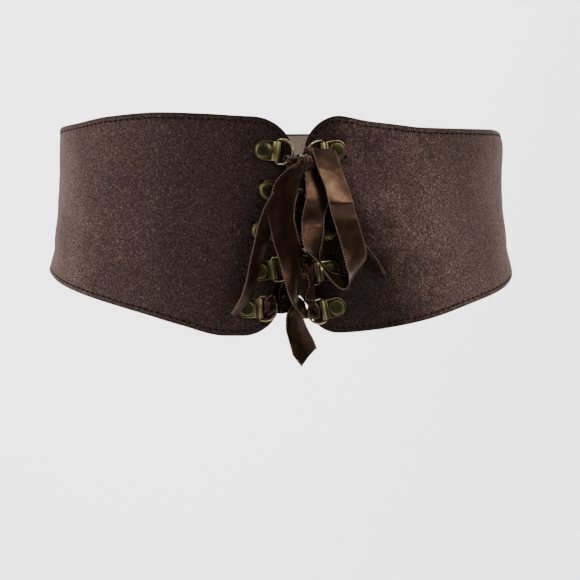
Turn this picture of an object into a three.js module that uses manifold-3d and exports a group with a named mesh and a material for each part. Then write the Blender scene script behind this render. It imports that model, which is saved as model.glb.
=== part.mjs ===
// Corset belt: two suede panels round an oval waist, laced at the front through ten riveted lace
// loops with a satin ribbon that is tied in a bow. Millimetres, +Z up, front at -Y, and the origin
// is the middle of the waist that the belt goes round.
import * as THREE from 'three';
import { mergeVertices } from 'three/addons/utils/BufferGeometryUtils.js';
import Module from 'manifold-3d';

// Driving sizes of the belt
const HALF_BREADTH = 154; // outer face, side to side, at waist level
const HALF_DEPTH = 108; // outer face, front to back, at waist level
const OVAL_POWER = 2.3; // 2 is an ellipse, more is squarer
const SWELL = 7; // how much the belt spreads over the hip, at its sides
const FRONT_SWELL = 2.5; // and at the front and back
const WALL = 2.2; // suede and its lining
const TOP_RISE = 66; // highest point of the top edge above waist level
const BOTTOM_DROP = 76.5; // lowest point of the bottom edge below it
const TOP_CORNER = 30; // radius of the front corners
const BOTTOM_CORNER = 21;
const FRONT_GAP = 5.2; // between the front edges at the top row of loops
const FRONT_SPREAD = 12; // how much wider that gap is at the bottom row
const DENT_DEPTH = 2.4; // deepest of the soft dents in the panels
const SEAM_GAP = 0.3; // between the panels at the back seam
const CLEARANCE = 0.3; // between pieces that touch

// Driving sizes of the lace loops
const ROW_TOP = 42; // level of the top pair
const ROW_SPAN = 100.5; // from the top pair to the bottom pair
const RIVET_INSET = 20; // rivet to the panel's front edge on the corner rows
const CLIP_HEIGHT = 12.4;
const CLIP_SHEET = 0.8;
const RIVET_TO_BAR = 8.2;
const RING_WIRE = 1.8; // thickness of the ring's wire
const RING_REACH = 11.2; // bar to apex, between wire centres
const RING_HEIGHT = 15.4; // between wire centres
const CAP_RADIUS = 5.6;
const CAP_RISE = 2.4;
const SHANK_RADIUS = 1.5;
const BACK_CAP_RADIUS = 4.6;
const BACK_CAP_RISE = 1;

// Driving sizes of the ribbon
const RIBBON_WIDTH = 16.3;
const RIBBON_THICK = 1;
const LACE_WIDTH = 6; // the ribbon bunched up between the loops
const LACE_LIFT = 0.5; // spare room between the lace and a ring's wire
const LACE_ANGLE = 50; // degrees from a ring's apex to where a lace crosses its wire
const LACE_END = 3.6; // how far a lace goes on inside the ring
const LACE_STAND = 2.4; // how far two crossing laces stand off the line between their loops
const STRAP_ANGLE = 32; // degrees from a top ring's apex to its strap to the knot
const BOW_LEVEL = 34.5; // level of the knot
const BOW_REACH = 53; // knot to the outermost ribbon end, along the belt
const BOW_FALL = 130; // knot to the lowest ribbon end
const BOW_STAND = 10; // how far the bow bulges past the rings
const KNOT_RUN = 0.6; // right of the belt's middle
const KNOT_LIFT = 0.62; // share of the bow's whole stand off the belt
const KNOT_HALF = { run: 5.2, level: 5.4, lift: 4.2 };

// Steps of the curved pieces
const PANEL_STEPS = 27; // along a panel behind its corner
const PANEL_RISES = 8; // up its face
const CORNER_STEPS = [0, 0.03, 0.1, 0.22, 0.4, 0.65, 1]; // shares of the corner's radius
const ROUND_STEPS = 12; // round a rivet
const WIRE_STEPS = 6; // round a ring's wire
const BOW_STEPS = 12; // along a ring's round part
const LEG_STEPS = 10; // along a lace
const STRAND_STEPS = 2; // along the bow, for each row of its tables
const RUN_STEPS = 1440; // measuring the oval

// Rivet's domed cap from its foot to its middle: shares of CAP_RADIUS and CAP_RISE
const DOME = [
  { radius: 0.94, rise: 0 },
  { radius: 1, rise: 0.28 },
  { radius: 0.8, rise: 0.72 },
  { radius: 0.42, rise: 0.95 },
  { radius: 0, rise: 1 },
];

// How the belt spreads with its level: shares of TOP_RISE above waist level and BOTTOM_DROP below
const BODY = [
  { level: 1, spread: -0.25 },
  { level: 0.55, spread: -0.05 },
  { level: 0, spread: 0.03 },
  { level: -0.33, spread: 0.4 },
  { level: -0.6, spread: 0.95 },
  { level: -1, spread: 1.15 },
];

// Edges of each panel: run is a share of its length from the front edge to the back seam
const PANELS = [
  {
    name: 'left_panel',
    side: -1,
    gapShare: 0.64,
    spreadShare: 0.84,
    topCorner: 1,
    bottomCorner: 1.05,
    edges: [
      { run: 0, top: 0.95, bottom: 1 },
      { run: 0.08, top: 0.965, bottom: 1 },
      { run: 0.15, top: 0.99, bottom: 0.914 },
      { run: 0.21, top: 1, bottom: 0.828 },
      { run: 0.3, top: 0.96, bottom: 0.72 },
      { run: 0.38, top: 0.885, bottom: 0.64 },
      { run: 0.46, top: 0.84, bottom: 0.575 },
      { run: 0.7, top: 0.74, bottom: 0.56 },
      { run: 1, top: 0.72, bottom: 0.56 },
    ],
  },
  {
    name: 'right_panel',
    side: 1,
    gapShare: 0.36,
    spreadShare: 0.16,
    topCorner: 0.87,
    bottomCorner: 0.95,
    edges: [
      { run: 0, top: 0.985, bottom: 0.98 },
      { run: 0.05, top: 0.972, bottom: 0.985 },
      { run: 0.1, top: 0.915, bottom: 0.97 },
      { run: 0.14, top: 0.885, bottom: 0.945 },
      { run: 0.19, top: 0.85, bottom: 0.9 },
      { run: 0.28, top: 0.83, bottom: 0.783 },
      { run: 0.36, top: 0.815, bottom: 0.705 },
      { run: 0.44, top: 0.78, bottom: 0.63 },
      { run: 0.7, top: 0.73, bottom: 0.56 },
      { run: 1, top: 0.72, bottom: 0.56 },
    ],
  },
];

// Soft dents: place and size as shares of half the girth and of the side's height, depth of DENT_DEPTH
const DENTS = [
  { run: 0.38, level: 0.25, breadth: 0.09, height: 0.3, depth: 0.8 },
  { run: 0.43, level: 0.82, breadth: 0.06, height: 0.14, depth: 1.5 },
  { run: 0.2, level: -0.1, breadth: 0.05, height: 0.5, depth: -0.5 },
  { run: -0.2, level: 0.1, breadth: 0.07, height: 0.5, depth: 0.45 },
  { run: -0.33, level: -0.5, breadth: 0.06, height: 0.3, depth: -0.5 },
  { run: -0.45, level: 0.5, breadth: 0.1, height: 0.35, depth: 0.7 },
];

// Lace loops, a row for each pair: drop is a share of ROW_SPAN, inset of RIVET_INSET, tilt turns the
// loop's ring downwards and lift raises it off the panel, both in degrees
const LOOPS = [
  { drop: 0, left: { inset: 1.02, tilt: 5, lift: 30 }, right: { inset: 1.04, tilt: 9, lift: 12 } },
  { drop: 0.25, left: { inset: 0.75, tilt: 2, lift: 25 }, right: { inset: 0.84, tilt: 5, lift: 25 } },
  { drop: 0.51, left: { inset: 0.86, tilt: 0, lift: 20 }, right: { inset: 0.7, tilt: 4, lift: 20 } },
  { drop: 0.765, left: { inset: 0.76, tilt: -6, lift: 20 }, right: { inset: 0.75, tilt: 6, lift: 20 } },
  { drop: 1, left: { inset: 1.05, tilt: 0, lift: 12 }, right: { inset: 0.9, tilt: 12, lift: 12 } },
];

// The bow's ribbons, a row for each section: run is a share of BOW_REACH right of the knot, level of
// BOW_FALL below it, lift of the bow's whole stand off the belt, width of RIBBON_WIDTH. turn is the
// angle of the width across the belt's face and roll the angle at which its second edge turns back.
const BOW = {
  bow_loop_right: [
    { run: 0.02, level: 0.005, lift: 0.55, width: 0.45, turn: -60, roll: 10 },
    { run: 0.13, level: -0.038, lift: 0.6, width: 0.7, turn: -30, roll: 10 },
    { run: 0.245, level: -0.062, lift: 0.68, width: 0.85, turn: 4, roll: 20 },
    { run: 0.262, level: -0.034, lift: 0.76, width: 0.95, turn: 7, roll: 26 },
    { run: 0.31, level: 0.045, lift: 0.74, width: 1, turn: 4, roll: 22 },
    { run: 0.39, level: 0.148, lift: 0.69, width: 1, turn: -8, roll: 8 },
    { run: 0.425, level: 0.2, lift: 0.66, width: 1, turn: 0, roll: 6 },
    { run: 0.485, level: 0.277, lift: 0.66, width: 1, turn: 3, roll: 6 },
    { run: 0.565, level: 0.405, lift: 0.66, width: 1, turn: -1, roll: 12 },
    { run: 0.605, level: 0.486, lift: 0.64, width: 1, turn: 19, roll: 38 },
    { run: 0.6, level: 0.535, lift: 0.63, width: 0.95, turn: 27, roll: 50 },
    { run: 0.54, level: 0.584, lift: 0.62, width: 0.85, turn: 50, roll: 52 },
    { run: 0.46, level: 0.588, lift: 0.6, width: 0.8, turn: 72, roll: 45 },
    { run: 0.375, level: 0.572, lift: 0.6, width: 0.75, turn: 66, roll: 48 },
    { run: 0.28, level: 0.544, lift: 0.62, width: 0.7, turn: 46, roll: 68 },
    { run: 0.18, level: 0.49, lift: 0.64, width: 0.7, turn: 20, roll: 80 },
    { run: 0.14, level: 0.455, lift: 0.64, width: 0.75, turn: 0, roll: 66 },
    { run: 0.105, level: 0.415, lift: 0.63, width: 0.85, turn: 0, roll: 44 },
    { run: 0.105, level: 0.35, lift: 0.62, width: 0.9, turn: 0, roll: 36 },
    { run: 0.108, level: 0.285, lift: 0.61, width: 0.95, turn: 0, roll: 35 },
    { run: 0.13, level: 0.235, lift: 0.58, width: 0.9, turn: 0, roll: 38 },
    { run: 0.15, level: 0.18, lift: 0.53, width: 0.75, turn: 0, roll: 38 },
    { run: 0.13, level: 0.11, lift: 0.48, width: 0.6, turn: -6, roll: 25 },
    { run: 0.06, level: 0.04, lift: 0.46, width: 0.4, turn: -10, roll: 10 },
  ],
  bow_loop_left: [
    { run: -0.04, level: 0.03, lift: 0.6, width: 0.4, turn: -30, roll: 20 },
    { run: -0.2, level: 0.11, lift: 0.63, width: 0.6, turn: -30, roll: 30 },
    { run: -0.355, level: 0.2, lift: 0.58, width: 0.7, turn: -16, roll: 40 },
    { run: -0.44, level: 0.3, lift: 0.58, width: 0.75, turn: -8, roll: 40 },
    { run: -0.5, level: 0.4, lift: 0.58, width: 0.75, turn: -6, roll: 46 },
    { run: -0.565, level: 0.5, lift: 0.58, width: 0.7, turn: -6, roll: 52 },
    { run: -0.6, level: 0.57, lift: 0.57, width: 0.65, turn: -8, roll: 55 },
    { run: -0.66, level: 0.65, lift: 0.55, width: 0.6, turn: -20, roll: 52 },
    { run: -0.745, level: 0.72, lift: 0.52, width: 0.5, turn: -30, roll: 46 },
    { run: -0.77, level: 0.735, lift: 0.47, width: 0.48, turn: -32, roll: 42 },
    { run: -0.745, level: 0.72, lift: 0.42, width: 0.5, turn: -30, roll: 40 },
    { run: -0.66, level: 0.65, lift: 0.44, width: 0.55, turn: -20, roll: 48 },
    { run: -0.6, level: 0.57, lift: 0.46, width: 0.6, turn: -8, roll: 52 },
    { run: -0.5, level: 0.4, lift: 0.48, width: 0.6, turn: -6, roll: 44 },
    { run: -0.43, level: 0.3, lift: 0.48, width: 0.6, turn: -8, roll: 36 },
    { run: -0.35, level: 0.2, lift: 0.5, width: 0.55, turn: -16, roll: 34 },
    { run: -0.2, level: 0.11, lift: 0.54, width: 0.45, turn: -30, roll: 25 },
    { run: -0.06, level: 0.045, lift: 0.5, width: 0.35, turn: -30, roll: 10 },
  ],
  bow_tail_left: [
    { run: -0.03, level: 0.015, lift: 0.7, width: 0.4, turn: -40, roll: 10 },
    { run: -0.13, level: 0.055, lift: 0.73, width: 0.65, turn: -35, roll: 30 },
    { run: -0.22, level: 0.135, lift: 0.74, width: 1, turn: -28, roll: 30 },
    { run: -0.255, level: 0.213, lift: 0.72, width: 1, turn: -10, roll: 20 },
    { run: -0.262, level: 0.268, lift: 0.7, width: 1, turn: 0, roll: 10 },
    { run: -0.24, level: 0.322, lift: 0.7, width: 1, turn: 5, roll: 6 },
    { run: -0.21, level: 0.38, lift: 0.69, width: 1, turn: 9, roll: 16 },
    { run: -0.165, level: 0.47, lift: 0.68, width: 0.9, turn: 14, roll: 34 },
    { run: -0.138, level: 0.585, lift: 0.67, width: 0.75, turn: 12, roll: 58 },
    { run: -0.108, level: 0.683, lift: 0.66, width: 0.7, turn: 5, roll: 90 },
    { run: -0.118, level: 0.733, lift: 0.64, width: 0.75, turn: 0, roll: 118 },
    { run: -0.086, level: 0.8, lift: 0.58, width: 0.85, turn: -10, roll: 127 },
    { run: -0.03, level: 0.866, lift: 0.5, width: 1, turn: 0, roll: 137 },
    { run: 0.012, level: 0.918, lift: 0.47, width: 1, turn: 8, roll: 144 },
    { run: 0.068, level: 0.952, lift: 0.45, width: 0.95, turn: 56, roll: 144 },
  ],
  bow_tail_right: [
    { run: 0.04, level: 0.02, lift: 0.5, width: 0.4, turn: -45, roll: 5 },
    { run: 0.16, level: 0.075, lift: 0.53, width: 0.75, turn: -42, roll: 5 },
    { run: 0.3, level: 0.15, lift: 0.46, width: 0.95, turn: -30, roll: 10 },
    { run: 0.46, level: 0.25, lift: 0.37, width: 0.9, turn: -15, roll: -25 },
    { run: 0.63, level: 0.36, lift: 0.33, width: 0.8, turn: 5, roll: -50 },
    { run: 0.8, level: 0.45, lift: 0.3, width: 0.7, turn: 20, roll: -60 },
    { run: 0.95, level: 0.55, lift: 0.24, width: 0.6, turn: 30, roll: -64 },
  ],
};

const wasm = await Module();
wasm.setup();

const SUEDE = { color: 0x4d3a35, roughness: 0.95, metalness: 0 };
const BRASS = { color: 0x6d6a45, roughness: 0.42, metalness: 0.85 };
const SATIN = { color: 0x5c4237, roughness: 0.4, metalness: 0 };

const FRONT = new THREE.Vector3(0, -1, 0);

// Value of one column of a table at a place along it, eased between its rows
function column(rows, along, name, at) {
  const sorted = [...rows].sort((a, b) => a[along] - b[along]);
  const high = sorted.findIndex((row) => row[along] >= at);
  if (high === 0) return sorted[0][name];
  if (high < 0) return sorted[sorted.length - 1][name];
  const low = sorted[high - 1];
  const share = (at - low[along]) / (sorted[high][along] - low[along]);
  const eased = share * share * (3 - 2 * share);
  return THREE.MathUtils.lerp(low[name], sorted[high][name], eased);
}

// Point of the belt's oval at an angle from the front, and the way it faces there
function ovalPoint(angle, spread) {
  const signedPower = (value) => Math.sign(value) * Math.abs(value) ** (2 / OVAL_POWER);
  const x = (HALF_BREADTH + spread) * signedPower(Math.sin(angle));
  const y = -(HALF_DEPTH + spread) * signedPower(Math.cos(angle));
  return new THREE.Vector3(x, y, 0);
}

function ovalNormal(point, spread) {
  const slope = (value, half) => Math.sign(value) * Math.abs(value / half) ** (OVAL_POWER - 1) / half;
  const nx = slope(point.x, HALF_BREADTH + spread);
  const ny = slope(point.y, HALF_DEPTH + spread);
  return new THREE.Vector3(nx, ny, 0).normalize();
}

// Run along the oval for each of many angles, measured once from the front middle to the back
const runTable = [{ angle: 0, run: 0 }];
for (let i = 1; i <= RUN_STEPS; i++) {
  const angle = (i / RUN_STEPS) * Math.PI;
  const last = runTable[i - 1];
  const step = ovalPoint(angle, 0).distanceTo(ovalPoint(last.angle, 0));
  runTable.push({ angle, run: last.run + step });
}
const halfGirth = runTable[RUN_STEPS].run;

function angleAt(run) {
  const wanted = Math.min(Math.abs(run), halfGirth);
  let low = 0;
  let high = RUN_STEPS;
  while (high - low > 1) {
    const middle = Math.floor((low + high) / 2);
    if (runTable[middle].run < wanted) low = middle;
    else high = middle;
  }
  const span = runTable[high].run - runTable[low].run;
  const share = span > 0 ? (wanted - runTable[low].run) / span : 0;
  return Math.sign(run) * THREE.MathUtils.lerp(runTable[low].angle, runTable[high].angle, share);
}

// How far the belt's face stands out or in at a place because of the hip and the dents
function spreadAt(run, level) {
  const share = level >= 0 ? level / TOP_RISE : level / BOTTOM_DROP;
  const swell = THREE.MathUtils.lerp(FRONT_SWELL, SWELL, Math.sin(angleAt(run)) ** 2);
  return swell * column(BODY, 'level', 'spread', share);
}

function dentAt(run, level) {
  const sideHeight = (TOP_RISE + BOTTOM_DROP) / 2;
  return DENTS.reduce((sum, dent) => {
    const across = (run / halfGirth - dent.run) / dent.breadth;
    const up = (level / sideHeight - dent.level) / dent.height;
    return sum - DENT_DEPTH * dent.depth * Math.exp(-across * across - up * up);
  }, 0);
}

// Point of the belt's outer face
function facePoint(run, level) {
  const spread = spreadAt(run, level);
  const point = ovalPoint(angleAt(run), spread);
  point.addScaledVector(ovalNormal(point, spread), dentAt(run, level));
  point.z = level;
  return point;
}

// Frame on that face: right is along the belt, up is up its face and out is off it
function frameAt(run, level) {
  const reach = CLIP_HEIGHT / 2;
  const right = facePoint(run + reach, level).sub(facePoint(run - reach, level)).normalize();
  const rise = facePoint(run, level + reach).sub(facePoint(run, level - reach));
  const out = new THREE.Vector3().crossVectors(right, rise).normalize();
  const up = new THREE.Vector3().crossVectors(out, right);
  return { origin: facePoint(run, level), right, up, out };
}

function place(run, level, lift) {
  const frame = frameAt(run, level);
  return frame.origin.addScaledVector(frame.out, lift);
}

// One closed body through sections that all have the same number of points
function loft(sections, closedLoop = false) {
  const around = sections[0].length;
  const points = sections.flat();
  const positions = points.flatMap((p) => [p.x, p.y, p.z]);
  const index = [];
  const last = closedLoop ? sections.length : sections.length - 1;
  for (let i = 0; i < last; i++) {
    const next = (i + 1) % sections.length;
    for (let j = 0; j < around; j++) {
      const k = (j + 1) % around;
      const corners = [i * around + j, i * around + k, next * around + k, next * around + j];
      index.push(corners[0], corners[1], corners[2], corners[0], corners[2], corners[3]);
    }
  }
  if (!closedLoop) {
    const end = (sections.length - 1) * around;
    for (let j = 0; j < around / 2 - 1; j++) {
      const k = around - 1 - j;
      index.push(j + 1, j, k, j + 1, k, k - 1);
      index.push(end + j, end + j + 1, end + k, end + j + 1, end + k - 1, end + k);
    }
  }
  const geometry = new THREE.BufferGeometry();
  geometry.setAttribute('position', new THREE.Float32BufferAttribute(positions, 3));
  geometry.setIndex(signedVolume(points, index) < 0 ? index.reverse() : index);
  return geometry;
}

function signedVolume(points, index) {
  let sum = 0;
  for (let i = 0; i < index.length; i += 3) {
    const [a, b, c] = [points[index[i]], points[index[i + 1]], points[index[i + 2]]];
    sum += a.dot(new THREE.Vector3().crossVectors(b, c));
  }
  return sum;
}

// Solids for cutting, made from closed geometry and turned back into it
function toSolid(geometry) {
  const bare = geometry.clone();
  bare.deleteAttribute('normal');
  bare.deleteAttribute('uv');
  const merged = mergeVertices(bare, 1e-4);
  return new wasm.Manifold(
    new wasm.Mesh({
      numProp: 3,
      vertProperties: new Float32Array(merged.attributes.position.array),
      triVerts: new Uint32Array(merged.index.array),
    }),
  );
}

function toGeometry(solid) {
  const mesh = solid.getMesh();
  const geometry = new THREE.BufferGeometry();
  geometry.setAttribute('position', new THREE.BufferAttribute(mesh.vertProperties, 3));
  geometry.setIndex(new THREE.BufferAttribute(mesh.triVerts, 1));
  return geometry;
}

// Where a panel's front edge is at a level
function frontEdge(panel, level) {
  const down = (ROW_TOP - level) / ROW_SPAN;
  return panel.gapShare * FRONT_GAP + panel.spreadShare * FRONT_SPREAD * down;
}

// Height that a rounded corner takes off the edge at a distance from the front edge
function cornerDrop(distance, radius) {
  if (distance >= radius) return 0;
  const left = 1 - distance / radius;
  return radius * (1 - Math.sqrt(1 - left * left));
}

// Panel with its outline from the table, its rounded front corners, and holes for the rivets
function makePanel(panel) {
  const length = halfGirth - frontEdge(panel, 0);
  const back = halfGirth - SEAM_GAP / 2;
  const topRadius = TOP_CORNER * panel.topCorner;
  const bottomRadius = BOTTOM_CORNER * panel.bottomCorner;
  const shares = CORNER_STEPS.map((step) => (step * topRadius) / length);
  for (let i = 1; i <= PANEL_STEPS; i++) {
    shares.push(THREE.MathUtils.lerp(topRadius / length, 1, i / PANEL_STEPS));
  }
  const sections = shares.map((share) => {
    const distance = share * length;
    const topShare = column(panel.edges, 'run', 'top', share);
    const bottomShare = column(panel.edges, 'run', 'bottom', share);
    const top = TOP_RISE * topShare - cornerDrop(distance, topRadius);
    const bottom = -BOTTOM_DROP * bottomShare + cornerDrop(distance, bottomRadius);
    const outer = [];
    const inner = [];
    for (let i = 0; i <= PANEL_RISES; i++) {
      const level = THREE.MathUtils.lerp(bottom, top, i / PANEL_RISES);
      const run = panel.side * THREE.MathUtils.lerp(frontEdge(panel, level), back, share);
      outer.push(place(run, level, 0));
      inner.unshift(place(run, level, -WALL));
    }
    return [...outer, ...inner];
  });
  let solid = toSolid(loft(sections));
  for (const loop of loopPlaces.filter((each) => each.panel === panel)) {
    const radius = SHANK_RADIUS + CLEARANCE;
    const hole = new THREE.CylinderGeometry(radius, radius, 4 * WALL, ROUND_STEPS);
    hole.rotateX(Math.PI / 2);
    hole.applyMatrix4(loop.matrix);
    solid = solid.subtract(toSolid(hole));
  }
  return toGeometry(solid);
}

// Heights inside a lace loop, off the panel's face
const clipFoot = CLEARANCE;
const clipTop = clipFoot + 2 * CLIP_SHEET;
const barHole = RING_WIRE / 2 + CLEARANCE;
const barLift = clipFoot + CLIP_SHEET + barHole;

// Each loop's place: x points at the ring's apex, y up the belt and z off its face, zero at the rivet
const loopPlaces = LOOPS.flatMap((row, number) =>
  PANELS.map((panel) => {
    const loop = panel.side < 0 ? row.left : row.right;
    const level = ROW_TOP - row.drop * ROW_SPAN;
    const run = panel.side * (frontEdge(panel, level) + loop.inset * RIVET_INSET);
    const frame = frameAt(run, level);
    const tilt = THREE.MathUtils.degToRad(loop.tilt);
    const inward = frame.right.clone().multiplyScalar(-panel.side);
    const axis = inward.clone().multiplyScalar(Math.cos(tilt)).addScaledVector(frame.up, -Math.sin(tilt));
    const across = new THREE.Vector3().crossVectors(frame.out, axis);
    const matrix = new THREE.Matrix4().makeBasis(axis, across, frame.out).setPosition(frame.origin);
    const lift = THREE.MathUtils.degToRad(loop.lift);
    const ring = new THREE.Matrix4().makeTranslation(RIVET_TO_BAR, 0, barLift);
    ring.multiply(new THREE.Matrix4().makeRotationY(-lift));
    return {
      name: `${panel.side < 0 ? 'left' : 'right'}_${number + 1}`,
      panel,
      matrix,
      ringMatrix: matrix.clone().multiply(ring),
    };
  }),
);

// Clip: a strip of sheet folded round the ring's bar, its two leaves together under the rivet
function makeClip() {
  const half = CLIP_HEIGHT / 2;
  const foldRadius = barHole + CLIP_SHEET;
  const profile = new THREE.Shape();
  profile.moveTo(-half, clipFoot);
  profile.lineTo(RIVET_TO_BAR, clipFoot);
  for (const degrees of [-60, -30, 0, 30, 60, 90, 115]) {
    const angle = THREE.MathUtils.degToRad(degrees);
    profile.lineTo(RIVET_TO_BAR + foldRadius * Math.cos(angle), barLift + foldRadius * Math.sin(angle));
  }
  profile.lineTo(half, clipTop + CLIP_SHEET / 4);
  profile.lineTo(half - CLIP_SHEET, clipTop);
  profile.lineTo(-half, clipTop);
  const bore = new THREE.Path();
  bore.absarc(RIVET_TO_BAR, barLift, barHole, 0, 2 * Math.PI, true);
  profile.holes.push(bore);
  const folded = new THREE.ExtrudeGeometry(profile, { depth: CLIP_HEIGHT, bevelEnabled: false, curveSegments: 8 });
  folded.translate(0, 0, -half);
  folded.rotateX(Math.PI / 2);
  const plan = new THREE.Shape();
  plan.moveTo(0, -half);
  plan.lineTo(2 * RIVET_TO_BAR, -half);
  plan.lineTo(2 * RIVET_TO_BAR, half);
  plan.lineTo(0, half);
  plan.absarc(0, 0, half, Math.PI / 2, 1.5 * Math.PI, false);
  const hole = new THREE.Path();
  hole.absarc(0, 0, SHANK_RADIUS + CLEARANCE, 0, 2 * Math.PI, true);
  plan.holes.push(hole);
  const tall = 4 * (barLift + foldRadius);
  const outline = new THREE.ExtrudeGeometry(plan, { depth: tall, bevelEnabled: false, curveSegments: 7 });
  outline.translate(0, 0, -tall / 4);
  return toGeometry(toSolid(folded).intersect(toSolid(outline)));
}

// Rivet: domed cap over the clip, shank through clip and panel, flat cap inside the belt
function makeRivet() {
  const underCap = clipTop + CLEARANCE;
  const inside = -WALL - CLEARANCE;
  const profile = [
    new THREE.Vector2(0, inside - BACK_CAP_RISE),
    new THREE.Vector2(BACK_CAP_RADIUS - BACK_CAP_RISE, inside - BACK_CAP_RISE),
    new THREE.Vector2(BACK_CAP_RADIUS, inside),
    new THREE.Vector2(SHANK_RADIUS, inside),
    new THREE.Vector2(SHANK_RADIUS, underCap),
  ];
  for (const row of DOME) {
    profile.push(new THREE.Vector2(row.radius * CAP_RADIUS, underCap + row.rise * CAP_RISE));
  }
  return new THREE.LatheGeometry(profile, ROUND_STEPS).rotateX(Math.PI / 2);
}

// Centre of the ring's wire at an angle from the apex, in the ring's own plane
function ringPoint(angle) {
  const soft = (value) => Math.sign(value) * Math.abs(value) ** 0.86;
  return new THREE.Vector3(RING_REACH * soft(Math.cos(angle)), (RING_HEIGHT / 2) * soft(Math.sin(angle)), 0);
}

// Angle from a ring's apex towards the top of the belt, which is the other way round on the right
function upwards(loop, degrees) {
  return THREE.MathUtils.degToRad(-loop.panel.side * degrees);
}

// Ring: a wire with a straight bar in the clip and a round bow towards the lacing
function makeRing() {
  const centres = [];
  for (let i = 1; i < BOW_STEPS; i++) centres.push(ringPoint((i / BOW_STEPS - 0.5) * Math.PI));
  const bend = RING_WIRE;
  const half = RING_HEIGHT / 2;
  for (const [x, y] of [[bend, half], [0.3 * bend, half - 0.3 * bend], [0, half - bend]]) {
    centres.push(new THREE.Vector3(x, y, 0));
  }
  for (const [x, y] of [[0, bend - half], [0.3 * bend, 0.3 * bend - half], [bend, -half]]) {
    centres.push(new THREE.Vector3(x, y, 0));
  }
  const sections = centres.map((centre, i) => {
    const before = centres[(i + centres.length - 1) % centres.length];
    const after = centres[(i + 1) % centres.length];
    const along = after.clone().sub(before).normalize();
    const side = new THREE.Vector3(along.y, -along.x, 0);
    const section = [];
    for (let j = 0; j < WIRE_STEPS; j++) {
      const angle = (j / WIRE_STEPS) * 2 * Math.PI;
      const point = centre.clone().addScaledVector(side, (RING_WIRE / 2) * Math.cos(angle));
      point.z += (RING_WIRE / 2) * Math.sin(angle);
      section.push(point);
    }
    return section;
  });
  return loft(sections, true);
}

// Ribbon through pairs of edge points, as one strip of even thickness
function makeStrip(edges, steps) {
  const first = new THREE.CatmullRomCurve3(edges.map((pair) => pair[0]), false, 'centripetal');
  const second = new THREE.CatmullRomCurve3(edges.map((pair) => pair[1]), false, 'centripetal');
  const middle = (t) => first.getPoint(t).add(second.getPoint(t)).multiplyScalar(0.5);
  const sections = [];
  for (let i = 0; i <= steps; i++) {
    const t = i / steps;
    const [a, b] = [first.getPoint(t), second.getPoint(t)];
    const along = middle(Math.min(1, t + 0.01)).sub(middle(Math.max(0, t - 0.01)));
    const across = b.clone().sub(a);
    const thick = along.cross(across).setLength(RIBBON_THICK / 2);
    sections.push([
      a.clone().add(thick),
      b.clone().add(thick),
      b.clone().sub(thick),
      a.clone().sub(thick),
    ]);
  }
  return loft(sections);
}

// Where a lace lies on a ring's wire: the angle is from the ring's apex towards the top of the belt
function wireEnd(loop, degrees, over) {
  const point = ringPoint(upwards(loop, degrees)).applyMatrix4(loop.ringMatrix);
  const normal = new THREE.Vector3(0, 0, 1).transformDirection(loop.ringMatrix);
  const reachOut = RING_WIRE / 2 + RIBBON_THICK / 2 + LACE_LIFT;
  return { point: point.addScaledVector(normal, over ? reachOut : -reachOut), normal };
}

// The lace's two edges at a distance past the wire, where it lies flat on the ring
function flatOnRing(end, along, forward) {
  const level = along.clone().projectOnPlane(end.normal).normalize();
  return laceEdges(end.point.clone().addScaledVector(level, forward), along, end.normal);
}

function laceEdges(centre, along, normal) {
  const across = new THREE.Vector3().crossVectors(along, normal).setLength(LACE_WIDTH / 2);
  return [centre.clone().add(across), centre.clone().sub(across)];
}

// Lace over one ring's wire and under another's, with a bias outwards where it crosses its pair
function makeLeg(start, end, bias) {
  const along = end.point.clone().sub(start.point).normalize();
  const edges = [flatOnRing(start, along, -LACE_END), flatOnRing(start, along, 0), flatOnRing(start, along, RING_WIRE)];
  for (const share of [0.4, 0.5, 0.6]) {
    const centre = start.point.clone().lerp(end.point, share).addScaledVector(FRONT, bias);
    edges.push(laceEdges(centre, along, FRONT));
  }
  edges.push(flatOnRing(end, along, -RING_WIRE), flatOnRing(end, along, 0), flatOnRing(end, along, LACE_END));
  return makeStrip(edges, LEG_STEPS);
}

// Heights of the bow off the belt: everything that it hangs over, and its own bulge
const highestLift = Math.max(...LOOPS.flatMap((row) => [row.left.lift, row.right.lift]));
const ringTop = barLift + RING_REACH * Math.sin(THREE.MathUtils.degToRad(highestLift)) + RING_WIRE;
const bowStand = ringTop + RIBBON_THICK + BOW_STAND;
const knotCentre = place(KNOT_RUN, BOW_LEVEL, KNOT_LIFT * bowStand);

// Knot: a lump of tightly drawn ribbon, drawn larger where the strands are cut to meet it
function makeKnot(grow) {
  const geometry = new THREE.SphereGeometry(1, 14, 10);
  geometry.scale(KNOT_HALF.run + grow, KNOT_HALF.lift + grow, KNOT_HALF.level + grow);
  geometry.translate(knotCentre.x, knotCentre.y, knotCentre.z);
  return geometry;
}

const knotRoom = toSolid(makeKnot(CLEARANCE));

function cutAtKnot(geometry) {
  const parts = toSolid(geometry).subtract(knotRoom).decompose();
  const largest = parts.reduce((best, part) => (part.volume() > best.volume() ? part : best));
  return toGeometry(largest);
}

// Strand of the bow from its table
function makeStrand(rows) {
  const edges = rows.map((row) => {
    const frame = frameAt(row.run * BOW_REACH, BOW_LEVEL - row.level * BOW_FALL);
    const centre = frame.origin.clone().addScaledVector(frame.out, row.lift * bowStand);
    const turn = THREE.MathUtils.degToRad(row.turn);
    const roll = THREE.MathUtils.degToRad(row.roll);
    const across = new THREE.Vector3();
    across.addScaledVector(frame.right, Math.cos(roll) * Math.cos(turn));
    across.addScaledVector(frame.up, Math.cos(roll) * Math.sin(turn));
    across.addScaledVector(frame.out, -Math.sin(roll));
    across.multiplyScalar((row.width * RIBBON_WIDTH) / 2);
    return [centre.clone().sub(across), centre.clone().add(across)];
  });
  return cutAtKnot(makeStrip(edges, STRAND_STEPS * rows.length));
}

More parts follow.
